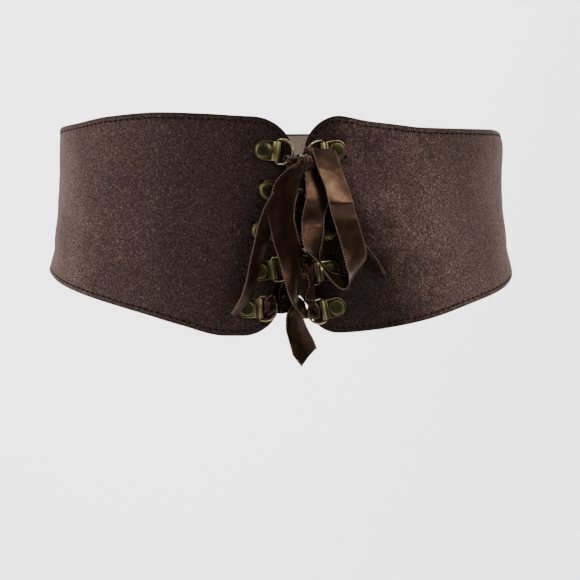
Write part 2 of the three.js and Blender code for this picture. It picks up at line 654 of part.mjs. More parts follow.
// Strap from inside a top ring over its wire to the knot
function makeStrap(loop) {
  const start = wireEnd(loop, -STRAP_ANGLE, true);
  const along = knotCentre.clone().sub(start.point).normalize();
  const edges = [flatOnRing(start, along, -LACE_END), flatOnRing(start, along, 0), flatOnRing(start, along, RING_WIRE)];
  edges.push(laceEdges(knotCentre, along, FRONT));
  return cutAtKnot(makeStrip(edges, LEG_STEPS));
}

const belt = new THREE.Group();

function addPiece(name, geometry, finish, matrix) {
  const mesh = new THREE.Mesh(geometry, new THREE.MeshStandardMaterial(finish));
  mesh.name = name;
  if (matrix) mesh.applyMatrix4(matrix);
  belt.add(mesh);
}

for (const panel of PANELS) addPiece(panel.name, makePanel(panel), SUEDE);

for (const loop of loopPlaces) {
  addPiece(`clip_${loop.name}`, makeClip(), BRASS, loop.matrix);
  addPiece(`ring_${loop.name}`, makeRing(), BRASS, loop.ringMatrix);
  addPiece(`rivet_${loop.name}`, makeRivet(), BRASS, loop.matrix);
}

// Lacing from the bottom pair up, one side's lace always in front where two cross
const rowCount = LOOPS.length;
const loopAt = (side, row) => loopPlaces.find((loop) => loop.name === `${side}_${row}`);
for (let row = rowCount; row > 1; row--) {
  for (const [from, to, bias] of [['right', 'left', LACE_STAND], ['left', 'right', -LACE_STAND]]) {
    const start = wireEnd(loopAt(from, row), LACE_ANGLE, true);
    const end = wireEnd(loopAt(to, row - 1), -LACE_ANGLE, false);
    addPiece(`lace_${from}_${row}_to_${to}_${row - 1}`, makeLeg(start, end, bias), SATIN);
  }
}
const bottomEnds = ['left', 'right'].map((side) => wireEnd(loopAt(side, rowCount), 0, false));
addPiece('lace_bottom', makeLeg(...bottomEnds, 0), SATIN);
for (const side of ['left', 'right']) addPiece(`strap_${side}`, makeStrap(loopAt(side, 1)), SATIN);

addPiece('knot', makeKnot(0), SATIN);
for (const [name, rows] of Object.entries(BOW)) addPiece(name, makeStrand(rows), SATIN);

export default belt;
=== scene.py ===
# Laced corset belt: suede panels, antiqued brass lace loops and a satin ribbon with its bow,
# dressed over the belt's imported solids. Sizes and tables are in millimetres as in the part, and in
# shares of those sizes; meshes and materials are in metres.
import math
import bmesh
import bpy
import numpy as np
from mathutils import Matrix, Vector, noise


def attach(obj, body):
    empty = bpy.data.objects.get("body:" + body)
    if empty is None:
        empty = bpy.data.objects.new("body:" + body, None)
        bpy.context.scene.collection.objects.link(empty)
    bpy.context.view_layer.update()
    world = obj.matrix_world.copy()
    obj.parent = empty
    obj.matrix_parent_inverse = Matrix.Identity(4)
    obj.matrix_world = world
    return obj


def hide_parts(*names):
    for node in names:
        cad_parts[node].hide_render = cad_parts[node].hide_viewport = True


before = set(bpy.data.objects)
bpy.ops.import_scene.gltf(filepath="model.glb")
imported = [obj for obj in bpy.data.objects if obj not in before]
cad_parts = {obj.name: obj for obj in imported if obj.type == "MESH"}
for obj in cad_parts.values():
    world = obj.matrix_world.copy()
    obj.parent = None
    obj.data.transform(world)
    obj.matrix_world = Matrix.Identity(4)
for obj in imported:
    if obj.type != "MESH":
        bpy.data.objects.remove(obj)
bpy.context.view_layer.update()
MM = 0.001

# Belt sizes
HALF_BREADTH = 154
HALF_DEPTH = 108
OVAL_POWER = 2.3
SWELL = 7
FRONT_SWELL = 2.5
WALL = 2.2
TOP_RISE = 66
BOTTOM_DROP = 76.5
TOP_CORNER = 30
BOTTOM_CORNER = 21
FRONT_GAP = 5.2
FRONT_SPREAD = 12
DENT_DEPTH = 2.4
SEAM_GAP = 0.3
CLEARANCE = 0.3

# Lace loop sizes
ROW_TOP = 42
ROW_SPAN = 100.5
RIVET_INSET = 20
CLIP_HEIGHT = 12.4
CLIP_SHEET = 0.8
RIVET_TO_BAR = 8.2
RING_WIRE = 1.8
RING_REACH = 11.2
RING_HEIGHT = 15.4
CAP_RADIUS = 5.6
CAP_RISE = 2.4
SHANK_RADIUS = 1.5
BACK_CAP_RADIUS = 4.6
BACK_CAP_RISE = 1
WIRE_SHOWN = 1.5

# Ribbon sizes
RIBBON_WIDTH = 16.3
RIBBON_THICK = 0.34
SOLID_THICK = 1
LACE_WIDTH = 6
LACE_SPREAD = 14.5
# How far a lace bows up between its rings, by the side that it starts from, and in the lowest pair
LACE_HUMPS = {"left": 5, "right": -5}
LOW_HUMPS = {"left": 0.5, "right": 5.5}
BOTTOM_HUMP = 3.5
LACE_LIFT = 0.5
LACE_ANGLE = 50
LACE_END = 3.6
LACE_STAND = 2.4
STRAP_ANGLE = 32
BOW_LEVEL = 34.5
BOW_REACH = 53
BOW_FALL = 130
BOW_STAND = 10
KNOT_RUN = 0.6
KNOT_LIFT = 0.62
KNOT_HALF = (5.2, 5.4, 4.2)
RIDGES = {"bow_tail_left": 1.8, "bow_loop_left": 1.2}
SELVEDGE_FROM = 0.466
BEAD_PITCH = 1.5
WEFT_PITCH = 0.32

# Rivets whose heads are worn flat
FLAT_HEADS = ("left_4", "left_5", "right_1", "right_4", "right_5")

# Stitching and the panels' soft edge
STITCH_INSET = 3.5
STITCH_PITCH = 4.3
STITCH_RADIUS = 0.3
HOLE_RADIUS = 0.82
SEAM_CLEAR = 5
EDGE_ROUND = 1.3
GROOVE_DEPTH = 0.32
PUFF_RISE = 0.14
PUFF_INSET = 1.7
MARGIN_SCALE = 20


def table(names, rows):
    """Rows of numbers as rows with names."""
    return [dict(zip(names.split(), row)) for row in rows]


# The belt's outline up its height and along each panel
BODY = table("level spread", [
    (1, -0.25),
    (0.55, -0.05),
    (0, 0.03),
    (-0.33, 0.4),
    (-0.6, 0.95),
    (-1, 1.15),
])

LEFT_EDGES = table("run top bottom", [
    (0, 0.95, 1),
    (0.08, 0.965, 1),
    (0.15, 0.99, 0.914),
    (0.21, 1, 0.828),
    (0.3, 0.96, 0.72),
    (0.38, 0.885, 0.64),
    (0.46, 0.84, 0.575),
    (0.7, 0.74, 0.56),
    (1, 0.72, 0.56),
])

RIGHT_EDGES = table("run top bottom", [
    (0, 0.985, 0.98),
    (0.05, 0.972, 0.985),
    (0.1, 0.915, 0.97),
    (0.14, 0.885, 0.945),
    (0.19, 0.85, 0.9),
    (0.28, 0.83, 0.783),
    (0.36, 0.815, 0.705),
    (0.44, 0.78, 0.63),
    (0.7, 0.73, 0.56),
    (1, 0.72, 0.56),
])

PANELS = {
    "left_panel": {"side": -1, "gap": 0.64, "spread": 0.84, "top": 1, "bottom": 1.05, "edges": LEFT_EDGES},
    "right_panel": {"side": 1, "gap": 0.36, "spread": 0.16, "top": 0.87, "bottom": 0.95,
                    "edges": RIGHT_EDGES},
}

# Shallow dents that the worn suede keeps
DENTS = table("run level breadth height depth", [
    (0.38, 0.25, 0.09, 0.3, 0.8),
    (0.43, 0.82, 0.06, 0.14, 1.5),
    (0.2, -0.1, 0.05, 0.5, -0.5),
    (-0.2, 0.1, 0.07, 0.5, 0.45),
    (-0.33, -0.5, 0.06, 0.3, -0.5),
    (-0.45, 0.5, 0.1, 0.35, 0.7),
])

# Lace loops: share of the way down, then each side's inset, tilt and ring lift
LOOPS = table("drop left right", [
    (0, (1.02, 5, 30), (1.04, 9, 12)),
    (0.25, (0.75, 2, 25), (0.84, 5, 25)),
    (0.51, (0.86, 0, 20), (0.7, 4, 20)),
    (0.765, (0.76, -6, 20), (0.75, 6, 20)),
    (1, (1.05, 0, 12), (0.9, 12, 12)),
])

# Bow strands: run, level, lift, width, turn, roll
BOW = {
    "bow_loop_right": [
        (0.02, 0.005, 0.55, 0.55, -60, 10), (0.115, -0.045, 0.54, 0.85, -34, 10),
        (0.225, -0.064, 0.42, 0.95, -4, 14), (0.262, -0.03, 0.51, 1, 4, 18),
        (0.31, 0.045, 0.695, 1, 2, 16), (0.375, 0.12, 0.79, 1, -6, 10),
        (0.4, 0.168, 0.865, 1, -2, 8), (0.415, 0.194, 0.9, 1, 0, 6),
        (0.42, 0.204, 0.89, 1, 0, 6), (0.45, 0.245, 0.8, 1, 0, 6),
        (0.485, 0.285, 0.72, 1, 3, 8), (0.565, 0.405, 0.68, 1, -1, 8),
        (0.605, 0.486, 0.66, 1, 19, 20), (0.6, 0.535, 0.63, 0.95, 27, 36),
        (0.54, 0.584, 0.62, 0.85, 50, 50), (0.46, 0.588, 0.6, 0.8, 72, 45),
        (0.375, 0.572, 0.6, 0.75, 66, 48), (0.28, 0.544, 0.62, 0.7, 46, 68),
        (0.18, 0.49, 0.64, 0.7, 20, 80), (0.14, 0.455, 0.7, 0.75, 0, 58),
        (0.105, 0.415, 0.71, 0.82, 0, 28), (0.1, 0.35, 0.68, 0.88, 0, 14),
        (0.1, 0.285, 0.64, 0.9, 0, 12), (0.12, 0.235, 0.62, 0.92, 0, 14),
        (0.165, 0.18, 0.56, 1, 0, 14), (0.17, 0.105, 0.47, 1, 0, 14),
        (0.162, 0.05, 0.42, 1, 0, 14), (0.13, -0.005, 0.42, 0.85, -8, 10),
    ],
    "bow_loop_left": [
        (-0.04, 0.03, 0.6, 0.4, -30, 20), (-0.2, 0.11, 0.63, 0.6, -30, 30),
        (-0.355, 0.2, 0.58, 0.7, -16, 40), (-0.44, 0.3, 0.58, 0.75, -8, 40),
        (-0.5, 0.4, 0.58, 0.75, -6, 46), (-0.565, 0.5, 0.58, 0.7, -6, 52),
        (-0.6, 0.57, 0.57, 0.65, -8, 55), (-0.67, 0.65, 0.55, 0.52, -14, 56),
        (-0.765, 0.72, 0.52, 0.36, -20, 56), (-0.8, 0.74, 0.47, 0.32, -22, 52),
        (-0.765, 0.72, 0.42, 0.36, -20, 52), (-0.66, 0.65, 0.44, 0.55, -20, 48),
        (-0.6, 0.57, 0.46, 0.6, -8, 52), (-0.5, 0.4, 0.48, 0.6, -6, 44),
        (-0.43, 0.3, 0.48, 0.6, -8, 36), (-0.35, 0.2, 0.5, 0.55, -16, 34),
        (-0.2, 0.11, 0.54, 0.45, -30, 25), (-0.06, 0.045, 0.5, 0.35, -30, 10),
    ],
    "bow_tail_left": [
        (-0.03, 0.015, 0.7, 0.4, -40, 10), (-0.13, 0.055, 0.73, 0.65, -35, 15),
        (-0.22, 0.135, 0.74, 1, -28, 2), (-0.255, 0.213, 0.72, 1, -10, -8),
        (-0.262, 0.268, 0.7, 1, 0, -12), (-0.24, 0.322, 0.7, 1, 5, -12),
        (-0.21, 0.38, 0.69, 1, 9, -4), (-0.165, 0.47, 0.68, 0.9, 14, 16),
        (-0.138, 0.585, 0.67, 0.8, 12, 40), (-0.112, 0.672, 0.66, 0.8, 5, 66),
        (-0.112, 0.733, 0.64, 0.85, 0, 118), (-0.08, 0.8, 0.58, 0.9, -10, 150),
        (-0.03, 0.866, 0.5, 1, 0, 166), (0.012, 0.918, 0.47, 1, 8, 180),
        (0.068, 0.952, 0.45, 0.9, 50, 182),
    ],
    "bow_tail_right": [
        (0.04, 0.02, 0.36, 0.45, -45, 5), (0.16, 0.075, 0.31, 0.8, -42, 5),
        (0.3, 0.15, 0.3, 0.95, -30, 8), (0.46, 0.25, 0.32, 0.9, -22, 30),
        (0.64, 0.36, 0.35, 0.75, -26, 62), (0.82, 0.45, 0.32, 0.65, -30, 74),
        (0.93, 0.52, 0.28, 0.5, -30, 78), (0.99, 0.56, 0.26, 0.42, -30, 74),
    ],
}


# The belt's face, as the part makes it
def column(rows, along, name, at):
    rows = sorted(rows, key=lambda row: row[along])
    keys = np.array([row[along] for row in rows], float)
    values = np.array([row[name] for row in rows], float)
    at = np.clip(at, keys[0], keys[-1])
    high = np.clip(np.searchsorted(keys, at), 1, len(keys) - 1)
    share = (at - keys[high - 1]) / (keys[high] - keys[high - 1])
    eased = share * share * (3 - 2 * share)
    return values[high - 1] + (values[high] - values[high - 1]) * eased


def smooth_column(rows, name, at):
    """The same table read along one smooth line that doesn't overshoot its rows."""
    keys = np.array([row["run"] for row in rows], float)
    values = np.array([row[name] for row in rows], float)
    step = np.diff(keys)
    slope = np.diff(values) / step
    same = slope[:-1] * slope[1:] > 0
    middle = np.where(same, 2 * slope[:-1] * slope[1:] / np.where(same, slope[:-1] + slope[1:], 1), 0)
    tangent = np.concatenate([[slope[0]], middle, [slope[-1]]])
    low = np.clip(np.searchsorted(keys, at) - 1, 0, len(keys) - 2)
    t = np.clip((at - keys[low]) / step[low], 0, 1)
    rise = step[low]
    return (values[low] * (1 + 2 * t) * (1 - t) ** 2 + tangent[low] * rise * t * (1 - t) ** 2
            + values[low + 1] * t * t * (3 - 2 * t) + tangent[low + 1] * rise * t * t * (t - 1))


def signed_power(value, power):
    return np.sign(value) * np.abs(value) ** power


def oval_point(angle, spread):
    x = (HALF_BREADTH + spread) * signed_power(np.sin(angle), 2 / OVAL_POWER)
    y = -(HALF_DEPTH + spread) * signed_power(np.cos(angle), 2 / OVAL_POWER)
    return x, y


def oval_normal(x, y, spread):
    nx = signed_power(x / (HALF_BREADTH + spread), OVAL_POWER - 1) / (HALF_BREADTH + spread)
    ny = signed_power(y / (HALF_DEPTH + spread), OVAL_POWER - 1) / (HALF_DEPTH + spread)
    size = np.hypot(nx, ny)
    return nx / size, ny / size


ANGLES = np.linspace(0, math.pi, 1441)
OVAL_X, OVAL_Y = oval_point(ANGLES, 0.0)
RUNS = np.concatenate([[0], np.cumsum(np.hypot(np.diff(OVAL_X), np.diff(OVAL_Y)))])
HALF_GIRTH = RUNS[-1]


def face_point(run, level):
    run = np.asarray(run, float)
    level = np.asarray(level, float)
    angle = np.sign(run) * np.interp(np.abs(run), RUNS, ANGLES)
    share = np.where(level >= 0, level / TOP_RISE, level / BOTTOM_DROP)
    swell = FRONT_SWELL + (SWELL - FRONT_SWELL) * np.sin(angle) ** 2
    spread = swell * column(BODY, "level", "spread", share)
    x, y = oval_point(angle, spread)
    nx, ny = oval_normal(x, y, spread)
    dent = 0.0
    side_height = (TOP_RISE + BOTTOM_DROP) / 2
    for row in DENTS:
        across = (run / HALF_GIRTH - row["run"]) / row["breadth"]
        up = (level / side_height - row["level"]) / row["height"]
        dent = dent - DENT_DEPTH * row["depth"] * np.exp(-across * across - up * up)
    return np.stack([x + nx * dent, y + ny * dent, level + 0.0 * x], axis=-1)


def unit(v):
    return v / np.linalg.norm(v, axis=-1, keepdims=True)


def distances(path):
    """Distance along a path at each of its points."""
    return np.concatenate([[0], np.cumsum(np.linalg.norm(np.diff(path, axis=0), axis=1))])


def frame_at(run, level):
    reach = CLIP_HEIGHT / 2
    right = unit(face_point(run + reach, level) - face_point(run - reach, level))
    rise = face_point(run, level + reach) - face_point(run, level - reach)
    out = unit(np.cross(right, rise))
    return face_point(run, level), right, np.cross(out, right), out


def place(run, level, lift):
    origin, _, _, out = frame_at(run, level)
    return origin + out * np.asarray(lift)[..., None]


def front_edge(panel, level):
    return panel["gap"] * FRONT_GAP + panel["spread"] * FRONT_SPREAD * (ROW_TOP - level) / ROW_SPAN


# Making and finishing meshes
def new_object(name, data):
    obj = bpy.data.objects.new(name, data)
    bpy.context.scene.collection.objects.link(obj)
    return obj


def mesh_object(name, points, faces):
    mesh = bpy.data.meshes.new(name)
    mesh.from_pydata([tuple(p) for p in points], [], faces)
    mesh.validate()
    mesh.polygons.foreach_set("use_smooth", [True] * len(mesh.polygons))
    return new_object(name, mesh)


def mark(obj, name, values):
    attribute = obj.data.attributes.new(name, "FLOAT", "POINT")
    attribute.data.foreach_set("value", np.asarray(values, np.float32))


def lay_uv(obj, uvs):
    layer = obj.data.uv_layers.new(name="ribbon")
    index = np.empty(len(obj.data.loops), int)
    obj.data.loops.foreach_get("vertex_index", index)
    layer.data.foreach_set("uv", np.array(uvs)[index].ravel().astype(np.float32))


def pick_nothing():
    if bpy.context.mode != "OBJECT":
        bpy.ops.object.mode_set(mode="OBJECT")
    bpy.ops.object.select_all(action="DESELECT")


def pick(obj):
    pick_nothing()
    obj.select_set(True)
    bpy.context.view_layer.objects.active = obj


def outwards(obj, merge=0.00001):
    pick(obj)
    bpy.ops.object.mode_set(mode="EDIT")
    bpy.ops.mesh.select_all(action="SELECT")
    bpy.ops.mesh.remove_doubles(threshold=merge)
    bpy.ops.mesh.normals_make_consistent(inside=False)
    bpy.ops.object.mode_set(mode="OBJECT")


def settle(obj, material, slot, *nodes):
    if not obj.data.materials:
        obj.data.materials.append(material)
    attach(obj, "root")
    if nodes:
        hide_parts(*nodes)


# Materials
class Nodes:
    def __init__(self, name):
        self.material = bpy.data.materials.new(name)
        self.material.use_nodes = True
        self.tree = self.material.node_tree
        self.shader = self.tree.nodes["Principled BSDF"]

    def add(self, kind, **values):
        node = self.tree.nodes.new(kind)
        for key, value in values.items():
            if hasattr(node, key):
                setattr(node, key, value)
            else:
                node.inputs[key.replace("_", " ")].default_value = value
        return node

    def link(self, source, target):
        self.tree.links.new(source, target)

    def feed(self, socket, value):
        """Links a source to a socket, or sets the socket to a number or a colour."""
        if hasattr(value, "links"):
            self.link(value, socket)
        else:
            socket.default_value = (*value, 1) if isinstance(value, tuple) else value

    def give(self, **values):
        """Feeds the shader's own sockets."""
        for name, value in values.items():
            self.feed(self.shader.inputs[name.replace("_", " ")], value)

    def coordinates(self, kind="Object"):
        return self.add("ShaderNodeTexCoord").outputs[kind]

    def attribute(self, name):
        return self.add("ShaderNodeAttribute", attribute_name=name).outputs["Fac"]

    def noise(self, vector, scale, detail, rough):
        node = self.add("ShaderNodeTexNoise", Scale=scale, Detail=detail, Roughness=rough)
        self.link(vector, node.inputs["Vector"])
        return node.outputs["Fac"]

    def ramp(self, value, stops):
        """Colour ramp; a stop is a colour or one share for all three of its values."""
        node = self.add("ShaderNodeValToRGB")
        ramp = node.color_ramp
        while len(ramp.elements) < len(stops):
            ramp.elements.new(0.5)
        for element, (place_at, color) in zip(ramp.elements, stops):
            element.position = place_at
            element.color = (*color, 1) if isinstance(color, tuple) else (color, color, color, 1)
        self.link(value, node.inputs["Fac"])
        return node.outputs["Color"]

    def mix(self, kind, factor, a, b):
        node = self.add("ShaderNodeMix", data_type="RGBA", blend_type=kind)
        for index, value in ((0, factor), (6, a), (7, b)):
            self.feed(node.inputs[index], value)
        return node.outputs[2]

    def math(self, kind, a, b=0.0):
        node = self.add("ShaderNodeMath", operation=kind)
        self.feed(node.inputs[0], a)
        self.feed(node.inputs[1], b)
        return node.outputs[0]

    def bump(self, height, distance, strength, normal=None):
        node = self.add("ShaderNodeBump", Strength=strength, Distance=distance)
        self.link(height, node.inputs["Height"])
        if normal is not None:
            self.link(normal, node.inputs["Normal"])
        return node.outputs["Normal"]


# Painted light on the suede's front: lighter for painted sheen, darker for painted shade, from its left end
# to its right
PAINTED_LIGHT = [(0.03, 1.45), (0.09, 1.5), (0.17, 1.12), (0.26, 0.8), (0.34, 0.62), (0.44, 0.42), (0.58, 0.4),
           (0.63, 0.5), (0.675, 1.3), (0.72, 1.9), (0.8, 1.75), (0.88, 1.0), (0.99, 0.95)]
PAINTED_LIGHT_HALF = 0.16
PAINTED_LIGHT_SLANT = 0.37
PAINTED_LIGHT_WANDER = 0.07
PAINTED_LIGHT_REAR = 0.75


def suede_material(name):
    n = Nodes(name)
    coord = n.coordinates()
    cloud = n.noise(coord, 26.0, 4.0, 0.6)
    grain = n.noise(coord, 2100.0, 1.0, 0.5)
    fleck = n.noise(coord, 1350.0, 2.0, 0.75)
    tuft = n.noise(coord, 420.0, 2.0, 0.6)
    color = n.ramp(cloud, [(0.36, (0.040, 0.0228, 0.0225)), (0.5, (0.050, 0.0305, 0.0255)),
                           (0.66, (0.062, 0.037, 0.034))])
    salt = n.ramp(fleck, [(0.3, (0.12, 0.11, 0.11)), (0.45, (0.6, 0.59, 0.6)), (0.57, (1.6, 1.64, 1.68)),
                          (0.68, (4.4, 4.6, 4.8))])
    nap = n.ramp(tuft, [(0.35, (0.8, 0.79, 0.79)), (0.65, (1.22, 1.2, 1.18))])
    color = n.mix("MULTIPLY", 1.0, n.mix("MULTIPLY", 1.0, color, salt), nap)
    # Painted light and shade: it slants with height on the right and fades out towards the back
    split = n.add("ShaderNodeSeparateXYZ")
    n.link(coord, split.inputs[0])
    x, y, z = split.outputs
    slant = n.math("MULTIPLY", n.math("MULTIPLY", z, PAINTED_LIGHT_SLANT), n.math("GREATER_THAN", x, 0.0))
    wander = n.math("MULTIPLY", n.math("SUBTRACT", cloud, 0.5), PAINTED_LIGHT_WANDER)
    reach = n.math("ADD", n.math("ADD", n.math("ADD", x, slant), wander), PAINTED_LIGHT_HALF)
    painted_light = n.ramp(n.math("DIVIDE", reach, 2 * PAINTED_LIGHT_HALF), PAINTED_LIGHT)
    rear = n.ramp(n.math("ADD", n.math("MULTIPLY", y, 5.0), 0.5), [(0.4, 0), (0.75, 1)])
    painted_light = n.mix("MIX", rear, painted_light, (PAINTED_LIGHT_REAR, PAINTED_LIGHT_REAR, PAINTED_LIGHT_REAR))
    color = n.mix("MULTIPLY", 1.0, color, painted_light)
    # Taupe lining inside, and the suede darker over its last two millimetres to the outline
    lining = n.ramp(tuft, [(0.3, (0.19, 0.148, 0.118)), (0.7, (0.25, 0.2, 0.162))])
    color = n.mix("MIX", n.attribute("lining"), color, lining)
    edge = n.ramp(n.attribute("margin"), [(0.0, (0.14, 0.13, 0.12)), (0.03, (0.3, 0.3, 0.28)),
                                          (0.07, (0.8, 0.8, 0.78)), (0.1, 1)])
    nubs = n.bump(fleck, 0.0006, 0.8, n.bump(grain, 0.0003, 0.9))
    n.give(Base_Color=n.mix("MULTIPLY", 1.0, color, edge), Normal=nubs)
    n.give(Roughness=0.95, Specular_IOR_Level=0.12, Sheen_Weight=0.3, Sheen_Roughness=0.5,
           Sheen_Tint=(0.66, 0.46, 0.38))
    return n.material


def satin_material(name, shine):
    n = Nodes(name)
    split = n.add("ShaderNodeSeparateXYZ")
    n.link(n.coordinates("UV"), split.inputs[0])
    across, along = split.outputs[0], split.outputs[1]
    body = n.noise(n.coordinates(), 210.0, 2.0, 0.5)
    color = n.ramp(body, [(0.3, (0.0052, 0.0024, 0.0019)), (0.7, (0.0115, 0.0056, 0.0044))])
    # Selvedge with a tan bead at every stitch of it
    middle = n.math("ABSOLUTE", n.math("SUBTRACT", across, 0.5))
    selvedge = n.math("GREATER_THAN", middle, SELVEDGE_FROM)
    beads = n.math("SINE", n.math("MULTIPLY", along, 2 * math.pi / (BEAD_PITCH * MM)))
    dots = n.math("MULTIPLY", selvedge, n.math("GREATER_THAN", beads, -0.2))
    color = n.mix("MIX", n.math("MULTIPLY", dots, 0.85), color, (0.27, 0.19, 0.145))
    rough = n.mix("MIX", selvedge, n.ramp(body, [(0.3, 0.31), (0.7, 0.39)]), (0.7, 0.7, 0.7))
    weft = n.math("SINE", n.math("MULTIPLY", along, 2 * math.pi / (WEFT_PITCH * MM)))
    crumple = n.noise(n.coordinates(), 95.0, 2.0, 0.55)
    fine = n.bump(weft, 0.000006, 0.5, n.bump(crumple, 0.0017, 0.35))
    tangent = n.add("ShaderNodeTangent", direction_type="UV_MAP", uv_map="ribbon").outputs[0]
    n.give(Base_Color=color, Roughness=rough, Normal=n.bump(dots, 0.00005, 0.6, fine), Tangent=tangent)
    n.give(Specular_IOR_Level=shine, Specular_Tint=(1.0, 0.58, 0.36), Anisotropic=0.5)
    return n.material


def brass_material(name, lightness=1.0, polish=1.0):
    n = Nodes(name)
    coord = n.coordinates()
    patina = n.noise(coord, 260.0, 4.0, 0.6)
    speck = n.noise(coord, 1400.0, 3.0, 0.6)
    dark = n.ramp(patina, [(0.3, (0.026, 0.024, 0.013)), (0.55, (0.050, 0.043, 0.021)),
                           (0.8, (0.115, 0.092, 0.043))])
    # Painted highlight: convex edges turn a lighter brass
    edge_highlight = n.ramp(n.add("ShaderNodeNewGeometry").outputs["Pointiness"], [(0.51, 0), (0.6, 1)])
    color = n.mix("MIX", edge_highlight, dark, (0.4, 0.34, 0.16))
    color = n.mix("MULTIPLY", 1.0, color, (lightness, lightness, 0.94 * lightness))
    rough = n.ramp(patina, [(0.3, 0.5 * polish), (0.75, 0.3 * polish)])
    n.give(Base_Color=color, Roughness=rough, Normal=n.bump(speck, 0.000012, 0.6), Metallic=0.9)
    return n.material


def thread_material(name):
    n = Nodes(name)
    strand = n.noise(n.coordinates(), 2600.0, 2.0, 0.6)
    brown = n.ramp(strand, [(0.3, (0.018, 0.010, 0.009)), (0.7, (0.05, 0.03, 0.026))])
    # Needle holes are near black: painted shade inside the hole
    color = n.mix("MIX", n.attribute("hole"), brown, (0.003, 0.002, 0.002))
    n.give(Base_Color=color, Normal=n.bump(strand, 0.00008, 0.8), Roughness=0.8, Specular_IOR_Level=0.1)
    return n.material


suede = suede_material("brown_suede")
# Two copies of one satin: a glossier one on the right loop as a painted highlight, a duller one on the other
# strands, lacing and knot as painted shade
satin = satin_material("highlit_ribbon_satin", 0.8)
shaded_satin = satin_material("shaded_satin", 0.34)
brass = brass_material("antique_brass")
# Brass lightened 2.3 times for the clips' top rims, a painted highlight
highlit_brass = brass_material("highlit_brass", 2.3, 0.75)
ring_brass = brass_material("ring_brass", 1.35, 0.6)
thread = thread_material("dark_thread")


# Panels: one closed suede skin each, thinned to a soft edge along its outline
BACK_EDGE = HALF_GIRTH - SEAM_GAP / 2


def run_at(panel, share, level):
    return front_edge(panel, level) * (1 - share) + BACK_EDGE * share


def panel_edges(panel, share):
    """Levels of a panel's bottom and top edges at shares of its length."""
    distance = share * (HALF_GIRTH - front_edge(panel, 0))

    def drop(radius):
        left = np.clip(1 - distance / radius, 0, 1)
        return radius * (1 - np.sqrt(1 - left * left))

    top = TOP_RISE * smooth_column(panel["edges"], "top", share) - drop(TOP_CORNER * panel["top"])
    rise = drop(BOTTOM_CORNER * panel["bottom"])
    bottom = -BOTTOM_DROP * smooth_column(panel["edges"], "bottom", share) + rise
    return bottom, top


def panel_outline(panel, inset):
    """Outline from the back seam along the top, round the front and back along the bottom."""
    shares = np.concatenate([np.linspace(1, 0.1, 300), 0.1 * (np.linspace(1, 0, 260) ** 2)[1:]])
    bottom, top = panel_edges(panel, shares)
    upper = np.stack([run_at(panel, shares, top), top], axis=-1)
    lower = np.stack([run_at(panel, shares, bottom), bottom], axis=-1)[::-1]
    rise = np.linspace(upper[-1, 1], lower[0, 1], 80)[1:-1]
    front = np.stack([front_edge(panel, rise), rise], axis=-1)
    path = np.concatenate([upper, front, lower])
    along = unit(np.gradient(path, axis=0))
    inward = np.stack([-along[:, 1], along[:, 0]], axis=-1)
    return path + inward * inset


def nearest(points, path):
    """Distance from each point to the nearest stretch of a path."""
    best = np.full(len(points), 1e9)
    for start in range(len(path) - 1):
        a, b = path[start], path[start + 1]
        ab = b - a
        t = np.clip(((points - a) @ ab) / max(ab @ ab, 1e-12), 0, 1)
        best = np.minimum(best, np.linalg.norm(points - a - t[:, None] * ab, axis=1))
    return best


def make_panel(node, panel):
    front = 1 - np.cos(np.linspace(0, math.pi / 2, 26))
    length = HALF_GIRTH - front_edge(panel, 0)
    corner = TOP_CORNER * panel["top"] / length
    body = np.linspace(corner, 1, 190)
    seam = 1 - np.array([2.4, 1.6, 1.0, 0.6, 0.3, 0.1, 0]) / length
    shares = np.unique(np.concatenate([front * corner, body[body < seam[0]], seam]))
    near = np.array([0, 0.1, 0.3, 0.65, 1.1, 1.7, 2.4, 3.0, 3.6, 4.4, 5.6])
    bottom, top = panel_edges(panel, shares)
    height = top - bottom
    middle = np.linspace(0, 1, 50)[1:-1]
    rows = []
    for b, h in zip(bottom, height):
        inner = near[-1] + (h - 2 * near[-1]) * middle
        rows.append(b + np.concatenate([near, inner, h - near[::-1]]))
    level = np.array(rows)
    share = np.repeat(shares[:, None], level.shape[1], axis=1)
    run = run_at(panel, share, level)
    flat = np.stack([run.ravel(), level.ravel()], axis=-1)
    outline = panel_outline(panel, 0)
    margin = nearest(flat, outline[::3]).reshape(run.shape)
    margin = np.minimum(margin, BACK_EDGE - run)
    margin[:, 0] = margin[:, -1] = margin[0, :] = margin[-1, :] = 0
    half = WALL / 2
    round_off = np.sqrt(np.clip(1 - (1 - np.minimum(margin, EDGE_ROUND) / EDGE_ROUND) ** 2, 0, 1))
    groove = GROOVE_DEPTH * np.exp(-(((margin - STITCH_INSET) / 0.8) ** 2))
    puff = PUFF_RISE * np.exp(-(((margin - PUFF_INSET) / 0.7) ** 2))

    def ripples(along, up, seed):
        return np.array([[noise.noise(Vector((r * along, z * up, panel["side"] * seed)))
                          for r, z in zip(*pair)] for pair in zip(run, level)])

    # Slight waves in the suede, none of them near the lace loops or the edges
    clear = np.clip((np.abs(run) - 42) / 30, 0, 1) * np.clip(margin / 14, 0, 1)
    wave = clear * (0.55 * ripples(0.03, 0.035, 7.0) + 0.16 * ripples(0.11, 0.12, 3.0))
    signed = panel["side"] * run
    outer = place(signed, level, -half + half * round_off - groove + puff + wave)
    inner = place(signed, level, -half - half * round_off + 0.6 * wave)
    points = np.concatenate([outer.reshape(-1, 3), inner.reshape(-1, 3)]) * MM
    columns, tall = run.shape
    skin = columns * tall
    faces = []
    for i in range(columns - 1):
        for j in range(tall - 1):
            a, b = i * tall + j, i * tall + j + 1
            c, d = b + tall, a + tall
            faces.append((a, b, c, d))
            faces.append((a + skin, d + skin, c + skin, b + skin))
    obj = mesh_object(node + "_suede", points, faces)
    mark(obj, "margin", np.tile(margin.ravel(), 2) / MARGIN_SCALE)
    inside = np.clip(margin.ravel() / 0.8 - 1, 0, 1)
    mark(obj, "lining", np.concatenate([0 * inside, inside]))
    outwards(obj, 0.000004)
    settle(obj, suede, "suede", node)


